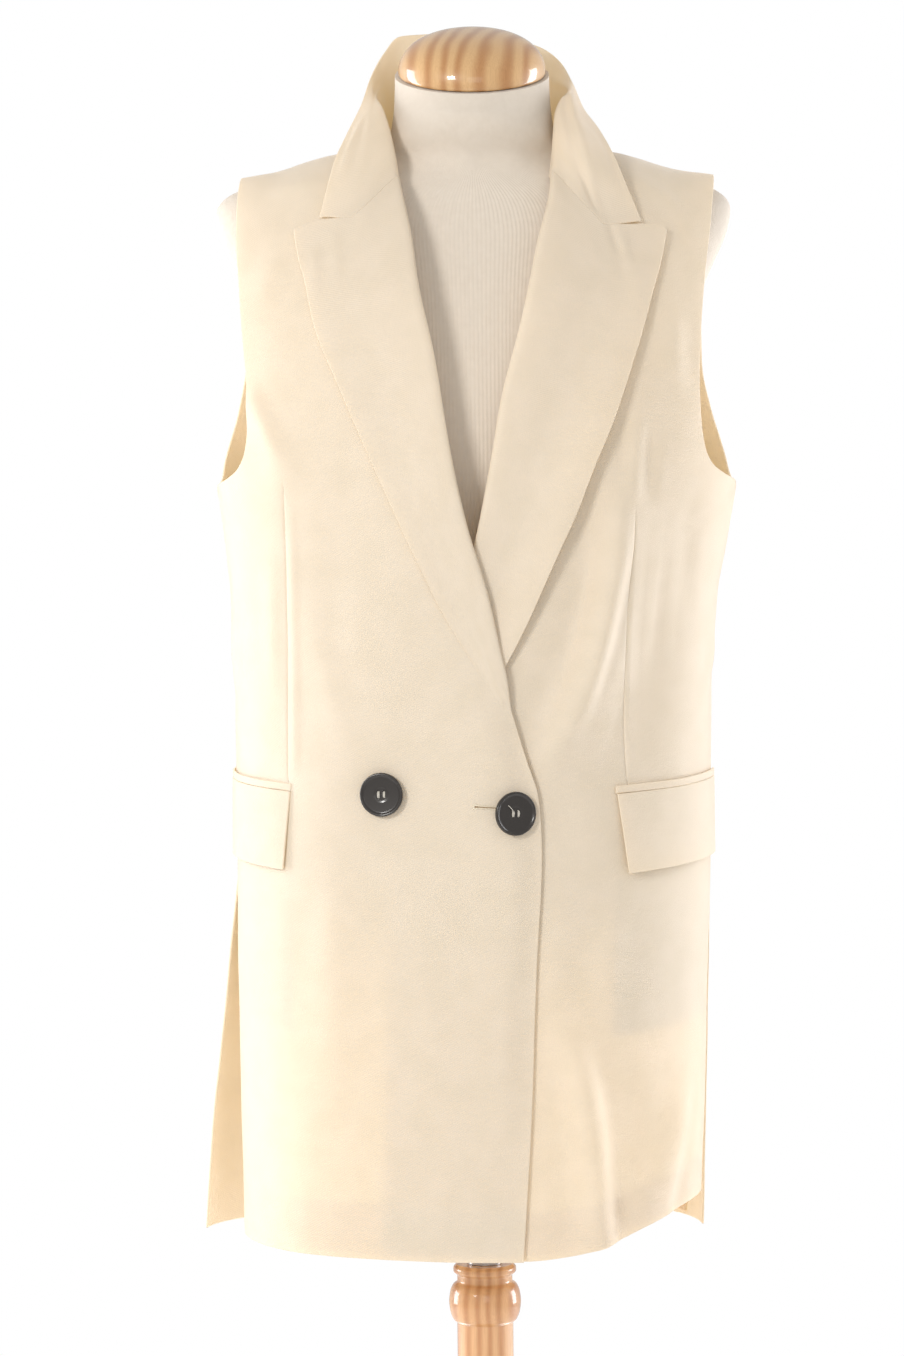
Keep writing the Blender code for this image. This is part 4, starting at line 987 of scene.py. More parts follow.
# How far each lapel's outer edge stands off the front, by height.
EDGE_STAND = Table("z right left", [
    (0.9, -0.0034, 0), (0.95, -0.0032, 0.001), (0.99, -0.0019, 0.0032), (1.05, -0.0003, 0.0068),
    (1.12, 0.0002, 0.008), (1.2, 0.0004, 0.0062), (1.27, 0.0006, 0.0036), (1.36, 0.0006, 0.0014),
])
RIGHT_LAPEL_CREASES = creases(
    measured,
    (-103.5, 1314, -101.5, 1285, -98.5, 1250, 4, 6, 0.6, 0.25, 0.5),
    (-117, 1300, -117.5, 1275, -116, 1240, 4, 5, 0.6, 0.3, 0.5),
)
LEFT_LAPEL_CREASES = creases(
    measured,
    (98, 1312, 102, 1298, 108.5, 1280, 2.4, 3.4, -1, 0.2, 0.5),
    (107, 1304, 111, 1285, 116, 1262, 3, 4, 0.8, 0.25, 0.5),
    (120, 1285, 119, 1262, 113, 1225, 4.5, 6, 0.7, 0.3, 0.5),
)
LAPEL_FLANK = 0.2
FORWARD = np.array([0, -1.0, 0])


def lapel_shares(length):
    """Shares across a lapel, with a column at each corner of its top row and close ones at its edge."""
    width = length[-1]
    stops = length / width
    parts = []
    for start, end in zip(stops[:-2], stops[1:-1]):
        count = max(4, int(round(LAPEL_ACROSS * (end - start))))
        parts.append(np.linspace(start, end, count + 1)[:-1])
    count = max(4, int(round(LAPEL_ACROSS * (1 - stops[-2]))))
    tail = [1 - step / width for step in EDGE_STEPS[::-1]]
    return np.concatenate([*parts, np.linspace(stops[-2], tail[0], count)[:-1], tail, [1.0]])


def lapel_lines(edge, lapel, corners, heights):
    fold = np.column_stack([edge("x", heights), heights])
    outer = np.column_stack([lapel("x_outer", heights), lapel("z_outer", heights)])
    top = np.array([fold[0], *corners, outer[0]])
    length = lengths(top)
    shares = lapel_shares(length)
    lines = fold[:, None] + (outer - fold)[:, None] * shares[None, :, None]
    bend = points_at(top, length, shares * length[-1]) - lines[0]
    weight = (1 - ease(heights[0] - heights, 0, TOP_ROW_REACH))[:, None, None]
    return lines + bend * weight, shares


def lapel_points(side, edge, lapel, corners, own_creases):
    """Middle surface of a lapel: it leaves the front's edge, rolls over, and lies on the front."""
    top, low = lapel.rows[-1, 0], lapel.rows[0, 0]
    near, next_one, inner = LAPEL_END_ROWS
    between = np.linspace(top - inner, low + next_one, LAPEL_ROWS)
    heights = np.concatenate([[top, top - near, top - next_one], between, [low + near, low]])
    lines, shares = lapel_lines(edge, lapel, corners, heights)
    x, z = lines[..., 0], lines[..., 1]
    base = draped(angle_at(x, z), z)
    up = normals(base, FORWARD)
    under = CLOTH / 2 + (top_lift(base) if side == "right" else np.zeros(x.shape))
    roll = lapel("roll", heights)
    sink = ease(heights, low + SINK_REACH, low)
    towards = unit(base[:, 1] - base[:, 0])
    columns = []
    for k, angle in enumerate(np.radians(np.linspace(*ROLL_TURN, ROLL_STEPS))):
        along = -ROLL_GAP - roll * np.cos(angle)
        along = along + (SUNK_START + SUNK_STEP * k - along) * sink
        height = under[:, 0] + roll * (1 + np.sin(angle))
        height = height + (under[:, 0] - SUNK_DEPTH - height) * sink
        columns.append(base[:, 0] + towards * along[:, None] + up[:, 0] * height[:, None])
    rest = CLOTH + LAYER_GAP
    settle = 1 - ease(shares, 0, ROLL_REACH)
    height = under + rest + (2 * roll[:, None] - rest) * settle
    for crease in own_creases:
        height = height + crease_height(x, z, *crease, LAPEL_FLANK)
    height = height + EDGE_STAND(side, heights)[:, None] * ease(shares, *STAND_REACH)
    height = height + (under - SUNK_DEPTH - height) * sink[:, None]
    inward = (SUNK_START + SUNK_STEP * ROLL_STEPS) * sink[:, None] * (1 - shares)
    flat = base + up * height[..., None] + towards[:, None] * inward[..., None]
    points = np.concatenate([np.stack(columns, axis=1), flat], axis=1)
    across = np.concatenate([-roll[0] * np.linspace(2, 0.1, ROLL_STEPS), shares * LAPEL_UV_WIDTH])
    uv = np.stack(np.broadcast_arrays(across[None, :], heights[:, None]), -1)
    return points, uv


LAPEL_TOPS = {}  # the two top rows of each lapel, which the collar's ends follow
for side, length, *shape in (
    ("right", 0.470, RIGHT_EDGE, RIGHT_LAPEL, RIGHT_TOP, RIGHT_LAPEL_CREASES),
    ("left", 0.490, LEFT_EDGE, LEFT_LAPEL, LEFT_TOP, LEFT_LAPEL_CREASES),
):
    points, uv = lapel_points(side, *shape)
    LAPEL_TOPS[side] = points[:2]
    lapel = shell("vest_lapel_" + side, points, normals(points, FORWARD), CLOTH_MAT, uv)
    cut = dict(flat=(0.110, length), area=0.0330, held="folded", rests_on=[PANEL_PIECES[side]])
    finish_piece(lapel, "cream_cloth", "lapel_" + side, **cut)


# ---- Collar ----
# Stations from the right front end round the back to the left one. Each runs from the neckline (n)
# over the fold (f) and the middle of the fall (m) to the free edge (e). These are in millimetres.
COLLAR = Table("at nx ny nz fx fy fz mx my mz ex ey ez", [
    (0, -60, -56, 1350, -57, -64, 1353, -87.5, -93.5, 1323.5, -115, -90, 1320),
    (0.06, -62.2, -41.5, 1360.2, -59, -56, 1368, -85, -78, 1346, -111, -80, 1337),
    (0.12, -72.2, -27.5, 1370.4, -61.5, -44, 1383, -80, -58, 1373, -104.5, -60, 1364),
    (0.18, -80.6, -11.5, 1377.7, -65.5, -30, 1399, -78, -37, 1396, -95, -35, 1390),
    (0.24, -86.5, 3, 1381.4, -70.5, -12, 1411, -76, -12, 1416, -85, -8, 1416),
    (0.3, -83.2, 17, 1382.4, -73.5, 13, 1414, -75.5, 15, 1430, -79, 20, 1441),
    (0.36, -74.8, 37.5, 1384.3, -70, 37, 1418, -69, 40, 1443, -69, 49, 1466.5),
    (0.42, -54.5, 63, 1387.9, -54, 59, 1423, -55, 63, 1454, -56, 70, 1484),
    (0.5, 0, 72, 1391.2, 0, 73.5, 1427, 0, 77, 1458, 0, 83, 1489),
    (0.58, 54.5, 63, 1387.9, 54, 60, 1421, 55.5, 65, 1448, 58, 75, 1474),
    (0.64, 74.8, 37.5, 1384.3, 70, 37, 1416, 70, 40, 1437, 72, 53, 1457),
    (0.7, 83.2, 17, 1382.4, 74, 13, 1415, 75.5, 15, 1429, 79.5, 28, 1435),
    (0.76, 86.5, 3, 1381.4, 70, -6, 1415, 75.5, -8, 1420, 85, -1, 1412),
    (0.82, 74.8, -11.5, 1376.7, 63, -24, 1403, 76.5, -34, 1398, 96, -28, 1390),
    (0.88, 64.3, -27.5, 1368.2, 61.5, -38, 1386, 79, -56, 1375, 106, -54, 1366),
    (0.94, 59, -39, 1360.6, 60.5, -48, 1374, 85, -75, 1344, 115.5, -77, 1338),
    (1, 62, -48, 1360, 58, -57, 1364, 92, -93, 1316.5, 124, -90, 1315),
])
COLLAR_STATIONS = 221
COLLAR_STEPS = (12, 16, 12)
COLLAR_UV_WIDTH = 0.09
GORGE_GAP = -0.0004  # sewn: the rounded edges meet in a shallow groove
NOTCH_GAP = 0.0026  # open at the collar's tip
NOTCH_START = 0.25  # share of the way from the notch corner to the tip
GORGE_REACH = 0.16
# Creases by (distance from the near front end, distance from the neckline), near each front end.
RIGHT_COLLAR_CREASES = creases(
    measured,
    (22, 82, 55, 80, 90, 76, 3, 3.6, 1, 0.3, 0.4),
    (30, 74, 60, 72, 85, 70, 2.8, 3.4, -0.6, 0.3, 0.4),
    (100, 50, 130, 56, 160, 58, 5, 6, 0.7, 0.4, 0.4),
)
LEFT_COLLAR_CREASES = creases(
    measured,
    (16, 71, 50, 68, 85, 62, 125, 55, 8.5, 6, 3, 0.25, 0.35),
    (4, 66, 16, 65, 32, 60, 2.6, 3.4, -1, 0.15, 0.5),
    (12, 83, 45, 81, 80, 78, 2.8, 3.4, 0.7, 0.3, 0.4),
    (120, 64, 150, 68, 180, 62, 5, 6, 0.8, 0.4, 0.4),
)
COLLAR_FLANK = 0.2
COLLAR_RIPPLE = 1.3  # its unevenness, as a share of the hanging cloth's
COLLAR_SETTLES = 0.012  # the creases start this far from the collar's ends


def curve_through(corners, steps):
    """Catmull-Rom curve through four corners, with the given steps in each of its three spans."""
    ends = [2 * corners[0] - corners[1], *corners, 2 * corners[-1] - corners[-2]]
    points = [corners[0]]
    for span, count in enumerate(steps):
        p0, p1, p2, p3 = ends[span : span + 4]
        square = 2 * p0 - 5 * p1 + 4 * p2 - p3
        cube = 3 * p1 - p0 - 3 * p2 + p3
        for t in np.linspace(0, 1, count + 1)[1:]:
            points.append(0.5 * (2 * p1 + (p2 - p0) * t + square * t**2 + cube * t**3))
    return np.array(points)


def gorge_line(lapel_top, tip_x, corner_x):
    """The collar's front end: it follows the lapel's top edge from the fold to the collar's tip."""
    top, second = lapel_top
    reach = np.abs(top[:, 0])
    past = ROLL_STEPS + int(np.argmax(reach[ROLL_STEPS:] > tip_x))
    share = (tip_x - reach[past - 1]) / (reach[past] - reach[past - 1])
    open_share = ease(reach, corner_x + NOTCH_START * (tip_x - corner_x), tip_x)
    open_share[:ROLL_STEPS] = 0
    raised = top + unit(top - second) * (GORGE_GAP + (NOTCH_GAP - GORGE_GAP) * open_share)[:, None]
    tip = raised[past - 1] + (raised[past] - raised[past - 1]) * share
    line = np.concatenate([raised[:past], [tip]])
    stand, middle, fall = COLLAR_STEPS
    first = resample(line[: ROLL_STEPS - 3], stand + 1)
    rest = resample(line[ROLL_STEPS - 4 :], middle + fall + 1)
    return np.concatenate([first, rest[1:]])


def collar_middle():
    places = np.linspace(0, 1, COLLAR_STATIONS)
    rows = []
    for at in places:
        corners = [np.array([COLLAR(line + axis, at) for axis in "xyz"]) * MM for line in "nfme"]
        rows.append(curve_through(corners, COLLAR_STEPS))
    rows = np.array(rows)
    for end, side, corners in ((0, "right", RIGHT_TOP), (-1, "left", LEFT_TOP)):
        exact = gorge_line(LAPEL_TOPS[side], abs(rows[end, -1, 0]), abs(corners[0][0]))
        weight = 1 - ease(np.abs(places - places[end]), 0, GORGE_REACH)
        rows = rows + (exact - rows[end]) * weight[:, None, None]
    return rows


def make_collar():
    points = collar_middle()
    steps = sum(COLLAR_STEPS)
    up = normals(points, np.zeros(3))
    if up[COLLAR_STATIONS // 2, COLLAR_STEPS[0] // 2, 1] < 0:
        up = -up
    along = lengths(points[:, steps // 2])
    from_right, from_neck = np.meshgrid(along, np.linspace(0, COLLAR_UV_WIDTH, steps + 1), indexing="ij")
    from_left = along[-1] - from_right
    lift = COLLAR_RIPPLE * ripple(0.5 * from_right, from_neck)
    for from_end, group in ((from_right, RIGHT_COLLAR_CREASES), (from_left, LEFT_COLLAR_CREASES)):
        for crease in group:
            lift = lift - crease_height(from_end, from_neck, *crease, COLLAR_FLANK)
    settled = ease(np.minimum(from_right, from_left), 0.0, COLLAR_SETTLES)
    points = points + up * (lift * settled)[..., None]
    collar = shell("vest_collar", points, up, CLOTH_MAT, np.stack([from_neck, from_right], -1))
    carriers = [PANEL_PIECES[side] for side in ("back", "left", "right")]
    cut = dict(flat=(0.105, 0.560), area=0.0440, held="folded", rests_on=carriers)
    finish_piece(collar, "cream_cloth", "collar", **cut)


make_collar()


# ---- Pockets ----
POCKET_WIDTH = 0.13
FLAP_COLUMNS = 60
FLAP_ROWS = 26
FLAP_GAP = 0.0001
FLAP_STAND = 0.0004
FLAP_SOFTNESS = 0.35  # how far a flap follows the creases under it
FLAP_SIDE_HANG = 0.3  # how far its side end stands off, as a share of its front end
WELT_ROWS = 7
EVEN_ROWS = 8  # up to this many rows are spaced evenly
# Where each flap's front end and side end lie, with the height of its upper edge there, how far the
# flap stands off and how much its front end slants.
POCKETS = dict(
    right=dict(front=(-0.1375, 0.8985), side_angle=-100.0, side_z=0.9100, stand=0.0016, slant=0.75),
    left=dict(front=(0.0975, 0.8945), side_angle=82.0, side_z=0.9050, stand=0.0040, slant=0.85),
)


def pocket_grid(pocket, rows, columns, top_drop, bottom_drop, slant=0.0):
    """Angles and heights of a strip that follows the pocket's upper edge, between two drops below it."""
    start = angle_at(*pocket["front"])
    end = np.radians(pocket["side_angle"])
    across = edge_spaced(0, POCKET_WIDTH, columns) / POCKET_WIDTH
    spaced = edge_spaced if rows > EVEN_ROWS else np.linspace
    drops = spaced(top_drop, bottom_drop, rows)[:, None]
    lean = slant * drops * (1 - across)
    front_z = pocket["front"][1]
    top = front_z + (pocket["side_z"] - front_z) * across
    return start + (end - start) * across + np.sign(end) * lean, top - drops, drops


def make_pocket(side, pocket):
    angles, heights, _ = pocket_grid(pocket, WELT_ROWS, FLAP_COLUMNS, 0.0, WELT_HEIGHT)
    place = draped(angles, heights)
    welt = sheet_on("vest_welt_" + side, place, CLOTH + LAYER_GAP, CLOTH_MAT, panel_uv(angles, heights))
    low = WELT_HEIGHT + FLAP_DROP
    angles, heights, drops = pocket_grid(
        pocket, FLAP_ROWS, FLAP_COLUMNS, WELT_HEIGHT + FLAP_GAP, low, pocket["slant"]
    )
    hang = (drops - drops[0]) / (drops[-1] - drops[0]) * np.linspace(1, FLAP_SIDE_HANG, FLAP_COLUMNS)
    base = (1 - FLAP_SOFTNESS) * garment(angles, heights) + FLAP_SOFTNESS * draped(angles, heights)
    out = CLOTH + LAYER_GAP + FLAP_STAND + pocket["stand"] * hang
    flap = sheet_on("vest_flap_" + side, base, out, CLOTH_MAT, panel_uv(angles, heights))
    front = [PANEL_PIECES[side]]
    cut = dict(flat=(0.130, 0.011), area=0.00088, held="laid", rests_on=front)
    finish_piece(welt, "cream_cloth", "welt_" + side, **cut)
    finish_piece(flap, "cream_cloth", "flap_" + side, flat=(0.130, 0.0575), held="hung", rests_on=front)


for side in ("right", "left"):
    make_pocket(side, POCKETS[side])


# ---- Inside: the turned-up hems and the pocket bags ----
HEM_TURN = 0.042
INNER_CLOTH = 0.0009
INNER_GAP = 0.0004
BAG_ROWS = 30
BAG_DROP = (0.006, 0.184)
BAG_SIDE_ANGLE = 76.0


def inner_sheet(name, points, lift, uv, flat, side, material):
    piece = sheet_on(name, points, lift - INNER_CLOTH - INNER_GAP, material, uv, thick=INNER_CLOTH)
    finish_piece(piece, "cream_cloth", flat=flat, held="hung", rests_on=[PANEL_PIECES[side]])


# The back's hem turn ends more columns inside the panel, where the vents' own edges begin.
# Each hem turn-up is drawn in the lighter copy of the twill, which is painted light against the shade
# inside.
for side, width, inset in (("right", 0.236, 2), ("left", 0.208, 2), ("back", 0.352, 8)):
    grid, *cloth = PANELS[side]
    first = int(np.argmax(grid[:, grid.shape[1] // 2, 1] < HEM_Z + HEM_TURN))
    points, lift, uv = (values[first:-2, inset:-inset] for values in cloth)
    inner_sheet("vest_hem_" + side, points, lift, uv, (width, HEM_TURN), side, HEM_LIGHTENED_MAT)
for side, width in (("right", 0.077), ("left", 0.098)):
    bag = dict(POCKETS[side], side_angle=np.sign(POCKETS[side]["side_angle"]) * BAG_SIDE_ANGLE)
    angles, heights, _ = pocket_grid(bag, BAG_ROWS, FLAP_COLUMNS, *BAG_DROP)
    points = draped(angles, heights)
    lift = top_lift(points) if side == "right" else np.zeros(angles.shape)
    uv = panel_uv(angles, heights)
    inner_sheet("vest_pocket_bag_" + side, points, lift, uv, (width, 0.178), side, BAG_MAT)


# ---- Buttons ----
OUTER_BUTTON = (-0.0715, 0.8912)
FASTENED_BUTTON = (0.0229, 0.8766)
FASTENED_LEAN = np.radians(11)  # the fastened button turns with the edge that rolls away beside it
BUTTON_GAP = 0.0003
SHANK_R = 0.0022
SHANK_LENGTH = 0.0016
HOLE_OFFSET = 0.0021
HOLE_R = 0.0009
HOLE_SHARE = 0.62  # the flat bottom of a hole, as a share of its radius
HOLE_DEPTH = 0.0014
HOLLOW_DEPTH = 0.0003
HOLLOW_REACH = (0.0042, 0.0060)
FACE_R = 0.0124
# The button's section as shares of its radius and thickness: its underside, then its raised rim.
BUTTON_UNDER = ((0, 0.35), (0.125, 0.22), (0.36, 0.06), (0.86, 0), (0.93, 0.10))
BUTTON_RIM = (
    (0.985, 0.30), (1, 0.50), (1, 0.66), (0.993, 0.82), (0.975, 0.94), (0.95, 1),
    (0.915, 1), (0.885, 0.95), (0.860, 0.86), (0.835, 0.78), (0.80, 0.74),
)
FACE_LEVEL, FACE_RISE, FACE_SHARE = 0.66, 0.08, 0.80
FACE_RINGS = 50


def facet_at(grid, x, z):
    """The point of a grid's facets that is seen at (x, z) from the front, and the facet's normal."""
    first, beside, across, above = (
        part.reshape(-1, 3) for part in (grid[:-1, :-1], grid[:-1, 1:], grid[1:, 1:], grid[1:, :-1])
    )
    a = np.concatenate([first, across])
    ab = np.concatenate([beside, beside]) - a
    ac = np.concatenate([above, above]) - a
    px, pz = x - a[:, 0], z - a[:, 2]
    area = ab[:, 0] * ac[:, 2] - ab[:, 2] * ac[:, 0]
    v = (px * ac[:, 2] - pz * ac[:, 0]) / area
    w = (ab[:, 0] * pz - ab[:, 2] * px) / area
    hit = int(np.argmax((v >= 0) & (w >= 0) & (v + w <= 1)))
    up = unit(np.cross(ab[hit], ac[hit]))
    return a[hit] + v[hit] * ab[hit] + w[hit] * ac[hit], up if up[1] < 0 else -up


def button_relief(x, y, height):
    """How deep the four holes and the shallow middle lie in the button's face."""
    if height < BUTTON_T / 2 or x == y == 0:
        return 0
    depth = HOLLOW_DEPTH * (1 - ease(np.hypot(x, y), *HOLLOW_REACH))
    for hole_x in (-HOLE_OFFSET, HOLE_OFFSET):
        for hole_y in (-HOLE_OFFSET, HOLE_OFFSET):
            away = np.hypot(x - hole_x, y - hole_y)
            depth += HOLE_DEPTH * (1 - ease(away, HOLE_SHARE * HOLE_R, HOLE_R))
    return depth


def button_mesh(name, seat, up):
    """A four-hole button with a raised rim and a hollow face."""
    profile = [(BUTTON_R * radius, height) for radius, height in BUTTON_UNDER + BUTTON_RIM]
    for radius in np.linspace(FACE_R, 0.0, FACE_RINGS):
        profile.append((radius, FACE_LEVEL + FACE_RISE * (radius / (FACE_SHARE * BUTTON_R)) ** 2))
    profile = [(radius, BUTTON_T * height) for radius, height in profile]
    place = seat + up * SHANK_LENGTH
    return lathe_mesh(name, profile, 96, HORN, place, up, sharp=60, relief=button_relief)


def tube(name, paths, radius, material, sides=8):
    """Round threads along one or more paths, each with its ends closed."""
    vertices, faces = [], []
    for path in paths:
        path = np.array(path, float)
        along = unit(np.gradient(path, axis=0))
        side = unit(np.cross(along, (0.37, 0.81, 0.45)))
        other = np.cross(along, side)
        start = len(vertices)
        for k, point in enumerate(path):
            for a in full_turn(sides):
                vertices.append(point + radius * (side[k] * np.cos(a) + other[k] * np.sin(a)))
        tips = len(vertices)
        vertices += [path[0], path[-1]]
        rings = np.arange(start, tips).reshape(-1, sides)
        faces += ring_faces([[tips], *rings, [tips + 1]])
    return add_mesh(name, vertices, faces, material)


THREAD_R = 0.00028
THREAD_SHIFTS = (-0.00055, -0.00018, 0.00018, 0.00055)  # the four strands from hole to hole, side by side
THREAD_LOW = HOLE_OFFSET + 0.00035
THREAD_RISE = 0.00125
THREAD_SUNK = 0.0006
THREAD_STEPS = 13
LOOSE_END = (0.0040, 0.0046)  # how far the loose thread end reaches sideways and up


def strand(side, k):
    """One strand between two holes: (across, upright, out) at each of its points."""
    t = np.linspace(0, 1, THREAD_STEPS)
    bend = THREAD_SHIFTS[k] * (0.75 + 0.45 * np.sin(np.pi * t)) + 0.0001 * np.sin(7 * k + side)
    rise = THREAD_RISE * (1 - (2 * t - 1) ** 4) + 0.00012 * np.sin(5 * k + 9 * t) - THREAD_SUNK
    return np.stack([side * HOLE_OFFSET + bend, THREAD_LOW * (2 * t - 1), rise], -1)


def loose_strand():
    t = np.linspace(0, 1, THREAD_STEPS)
    out = 0.0004 + 0.0013 * np.sin(np.pi * (0.15 + 0.75 * t))
    return np.stack([-HOLE_OFFSET - LOOSE_END[0] * t, 0.0016 + LOOSE_END[1] * t, out], -1)


def make_button(name, place, lean, outside):
    seat, up = facet_at(outside, *place)
    seat = seat + up * BUTTON_GAP
    c, s = np.cos(lean), np.sin(lean)
    up = np.array([up[0] * c - up[1] * s, up[1] * c + up[0] * s, up[2]])
    finish_piece(button_mesh("horn_button_" + name, seat, up), "dark_horn", "button_" + name)
    directions = np.array([*cross_directions(up), up])
    top = seat + up * (SHANK_LENGTH + BUTTON_T * FACE_LEVEL - HOLLOW_DEPTH)
    strands = [strand(side, k) for side in (-1, 1) for k in range(len(THREAD_SHIFTS))]
    if lean:
        strands.append(loose_strand())
    paths = [top + path @ directions for path in strands]
    finish_piece(tube("button_thread_" + name, paths, THREAD_R, THREAD), "cream_cloth")
    shank = seat + up * np.linspace(-0.0002, SHANK_LENGTH + 0.0008, 6)[:, None]
    finish_piece(tube("button_shank_" + name, [shank], SHANK_R, THREAD, 16), "cream_cloth")


EYELET = (-0.0043, 0.8816)  # the keyhole end of the buttonhole
SLIT_END = (0.0110, 0.8806)  # the end of its slit, towards the button
EYELET_R = 0.0016
EYELET_TURNS = np.radians(np.linspace(28, 332, 30))  # a stitch at each of these
SLIT_SHARES = np.linspace(0.06, 1, 34)  # and a stitch on each side of the slit at each of these
SLIT_START = 0.0014  # from the eyelet's middle
SLIT_HALF = 0.0008
SLIT_SHADE_R = 0.00048
STITCH_R = 0.00020
STITCH_HALF = 0.0007
STITCH_RISE = 0.00022
STITCH_SUNK = 0.00002
SLIT_SHADE_SUNK = 0.00008


def make_buttonhole(outside):
    """A keyhole buttonhole: close stitches laid across the edge of a round eye and a slit, and a dark tube
    of painted shade sunk along the slit.
    """
    eye, end = np.array(EYELET), np.array(SLIT_END)
    stitches = []  # (middle, direction) of each stitch
    for turn in EYELET_TURNS:
        direction = np.array([np.cos(turn), np.sin(turn)])
        stitches.append((eye + EYELET_R * direction, direction))
    start = eye + (SLIT_START, 0)
    run = end - eye - (SLIT_START, 0)
    for share in SLIT_SHARES:
        for direction in ((0, 1.0), (0, -1.0)):
            stitches.append((start + run * share + SLIT_HALF * np.array(direction), np.array(direction)))
    paths = []
    for middle, direction in stitches:
        path = []
        for t in np.linspace(-1, 1, 6):
            seat, up = facet_at(outside, *(middle + direction * STITCH_HALF * t))
            path.append(seat + up * (STITCH_RISE * (1 - t * t) - STITCH_SUNK))
        paths.append(path)
    finish_piece(tube("buttonhole_stitches", paths, STITCH_R, STITCH, 6), "cream_cloth")
    # A dark brown tube sunk along the slit. It is painted shade in the cut, not a thread.
    slit = []
    for share in np.linspace(0, 1, 8):
        seat, up = facet_at(outside, *(eye - (0.0004, 0) + (end - eye) * share))
        slit.append(seat - up * SLIT_SHADE_SUNK)
    finish_piece(tube("buttonhole_slit_shade", [slit], SLIT_SHADE_R, SLIT_SHADE, 8), "cream_cloth")


points, lift = PANELS["right"][1:3]
right_outside = points + normals(points, from_axis(points)) * (lift[..., None] + CLOTH)
make_button("outer", OUTER_BUTTON, 0.0, right_outside)
make_button("fastened", FASTENED_BUTTON, FASTENED_LEAN, right_outside)
make_buttonhole(right_outside)


# ---- Dress form and stand ----
FORM = Table("z half_width front back power", [
    (FORM_BOTTOM_Z, 0.125, 0.088, 0.09, 2.1), (0.742, 0.144, 0.1, 0.102, 2.1),
    (0.756, 0.154, 0.107, 0.11, 2.1), (0.8, 0.161, 0.111, 0.112, 2.1), (0.86, 0.156, 0.108, 0.104, 2.1),
    (0.92, 0.138, 0.099, 0.091, 2.1), (0.97, 0.129, 0.094, 0.086, 2.1), (1.02, 0.134, 0.098, 0.087, 2.1),
    (1.08, 0.15, 0.11, 0.092, 2.15), (1.13, 0.161, 0.117, 0.097, 2.2), (1.18, 0.164, 0.111, 0.1, 2.2),
    (1.23, 0.166, 0.097, 0.1, 2.2), (1.27, 0.174, 0.083, 0.094, 2.2), (1.3, 0.189, 0.07, 0.084, 2.2),
    (1.32, 0.1965, 0.062, 0.076, 2.1), (1.336, 0.199, 0.055, 0.07, 1.9), (1.348, 0.19, 0.05, 0.067, 1.6),
    (1.354, 0.176, 0.047, 0.066, 1.45), (1.358, 0.164, 0.046, 0.066, 1.35),
    (1.362, 0.151, 0.045, 0.065, 1.3), (1.366, 0.138, 0.045, 0.065, 1.3),
    (1.37, 0.117, 0.045, 0.065, 1.3), (1.374, 0.086, 0.047, 0.064, 1.4),
    (1.3765, 0.077, 0.049, 0.064, 1.55), (1.3785, 0.0725, 0.05, 0.063, 1.7),
    (1.384, 0.0675, 0.053, 0.062, 1.9), (1.392, 0.064, 0.056, 0.061, 2),
    (1.404, 0.0615, 0.0575, 0.06, 2), (1.42, 0.06, 0.059, 0.0595, 2), (1.439, 0.0595, 0.0595, 0.0595, 2),
])
FORM_CLEARANCE = 0.0024
NECKLINE_CLEARANCE = 0.0052
NECK_BASE_Z = 1.3786
NECK_FADE_Z = 1.3700
NECK_TILT_Z = 1.385
COVER_START, COVER_END = 0.023, 0.012  # inside a front's edge, where its cloth starts to lie on the form
NECKLINE_RISE = (1.335, 1.350)
NECKLINE_REACH = (0.088, 0.105)


def covered(x, z):
    """0 in the open neck, rising to 1 where a front's cloth lies over the form."""
    edge = np.where(x < 0, -RIGHT_EDGE("x", z), LEFT_EDGE("x", z))
    return ease(np.abs(x), edge - COVER_START, edge - COVER_END)


def near_neckline(x, z):
    """1 beside the neck, where the collar's stand starts inside the fronts, and 0 away from it."""
    return ease(z, *NECKLINE_RISE) * (1 - ease(np.abs(x), *NECKLINE_REACH))


TORSO_SIDES = 160
TORSO_ROUNDS = 8  # rounds of smoothing
TORSO_LOW = np.array([0, 0.0006, 0.0015, 0.003, 0.0055, 0.009, 0.013, 0.018])  # its lowest rings
TORSO_HEIGHTS = np.concatenate(
    [FORM_BOTTOM_Z + TORSO_LOW, np.linspace(0.764, 1.30, 68), np.linspace(1.306, CAP_Z, 62)]
)
TORSO_KEPT = 9  # rings that smoothing leaves alone
TORSO_UV_GIRTH = 0.5


def torso_ring(z, s, c):
    power = 2 / FORM("power", z)
    depth = np.where(c > 0, FORM("front", z), FORM("back", z))
    x = FORM("half_width", z) * np.sign(s) * np.abs(s) ** power
    y = -depth * np.sign(c) * np.abs(c) ** power
    if z < NECK_BASE_Z:
        clear = FORM_CLEARANCE + NECKLINE_CLEARANCE * near_neckline(x, z)
        before = garment(angle_at(x, z), z)[:, 1] + clear
        after = garment(np.pi - angle_at(x, z), z)[:, 1] - clear
        fade = 1 - ease(z, NECK_FADE_Z, NECK_BASE_Z)
        pushed = y + (np.maximum(y, before) - y) * covered(x, z) * fade
        y = np.where(c > 0, pushed, y + (np.minimum(y, after) - y) * fade)
    tilt = CAP_TILT * ease(z, NECK_TILT_Z, CAP_Z)
    return np.stack([x, y * np.cos(tilt), z + y * np.sin(tilt)], -1)


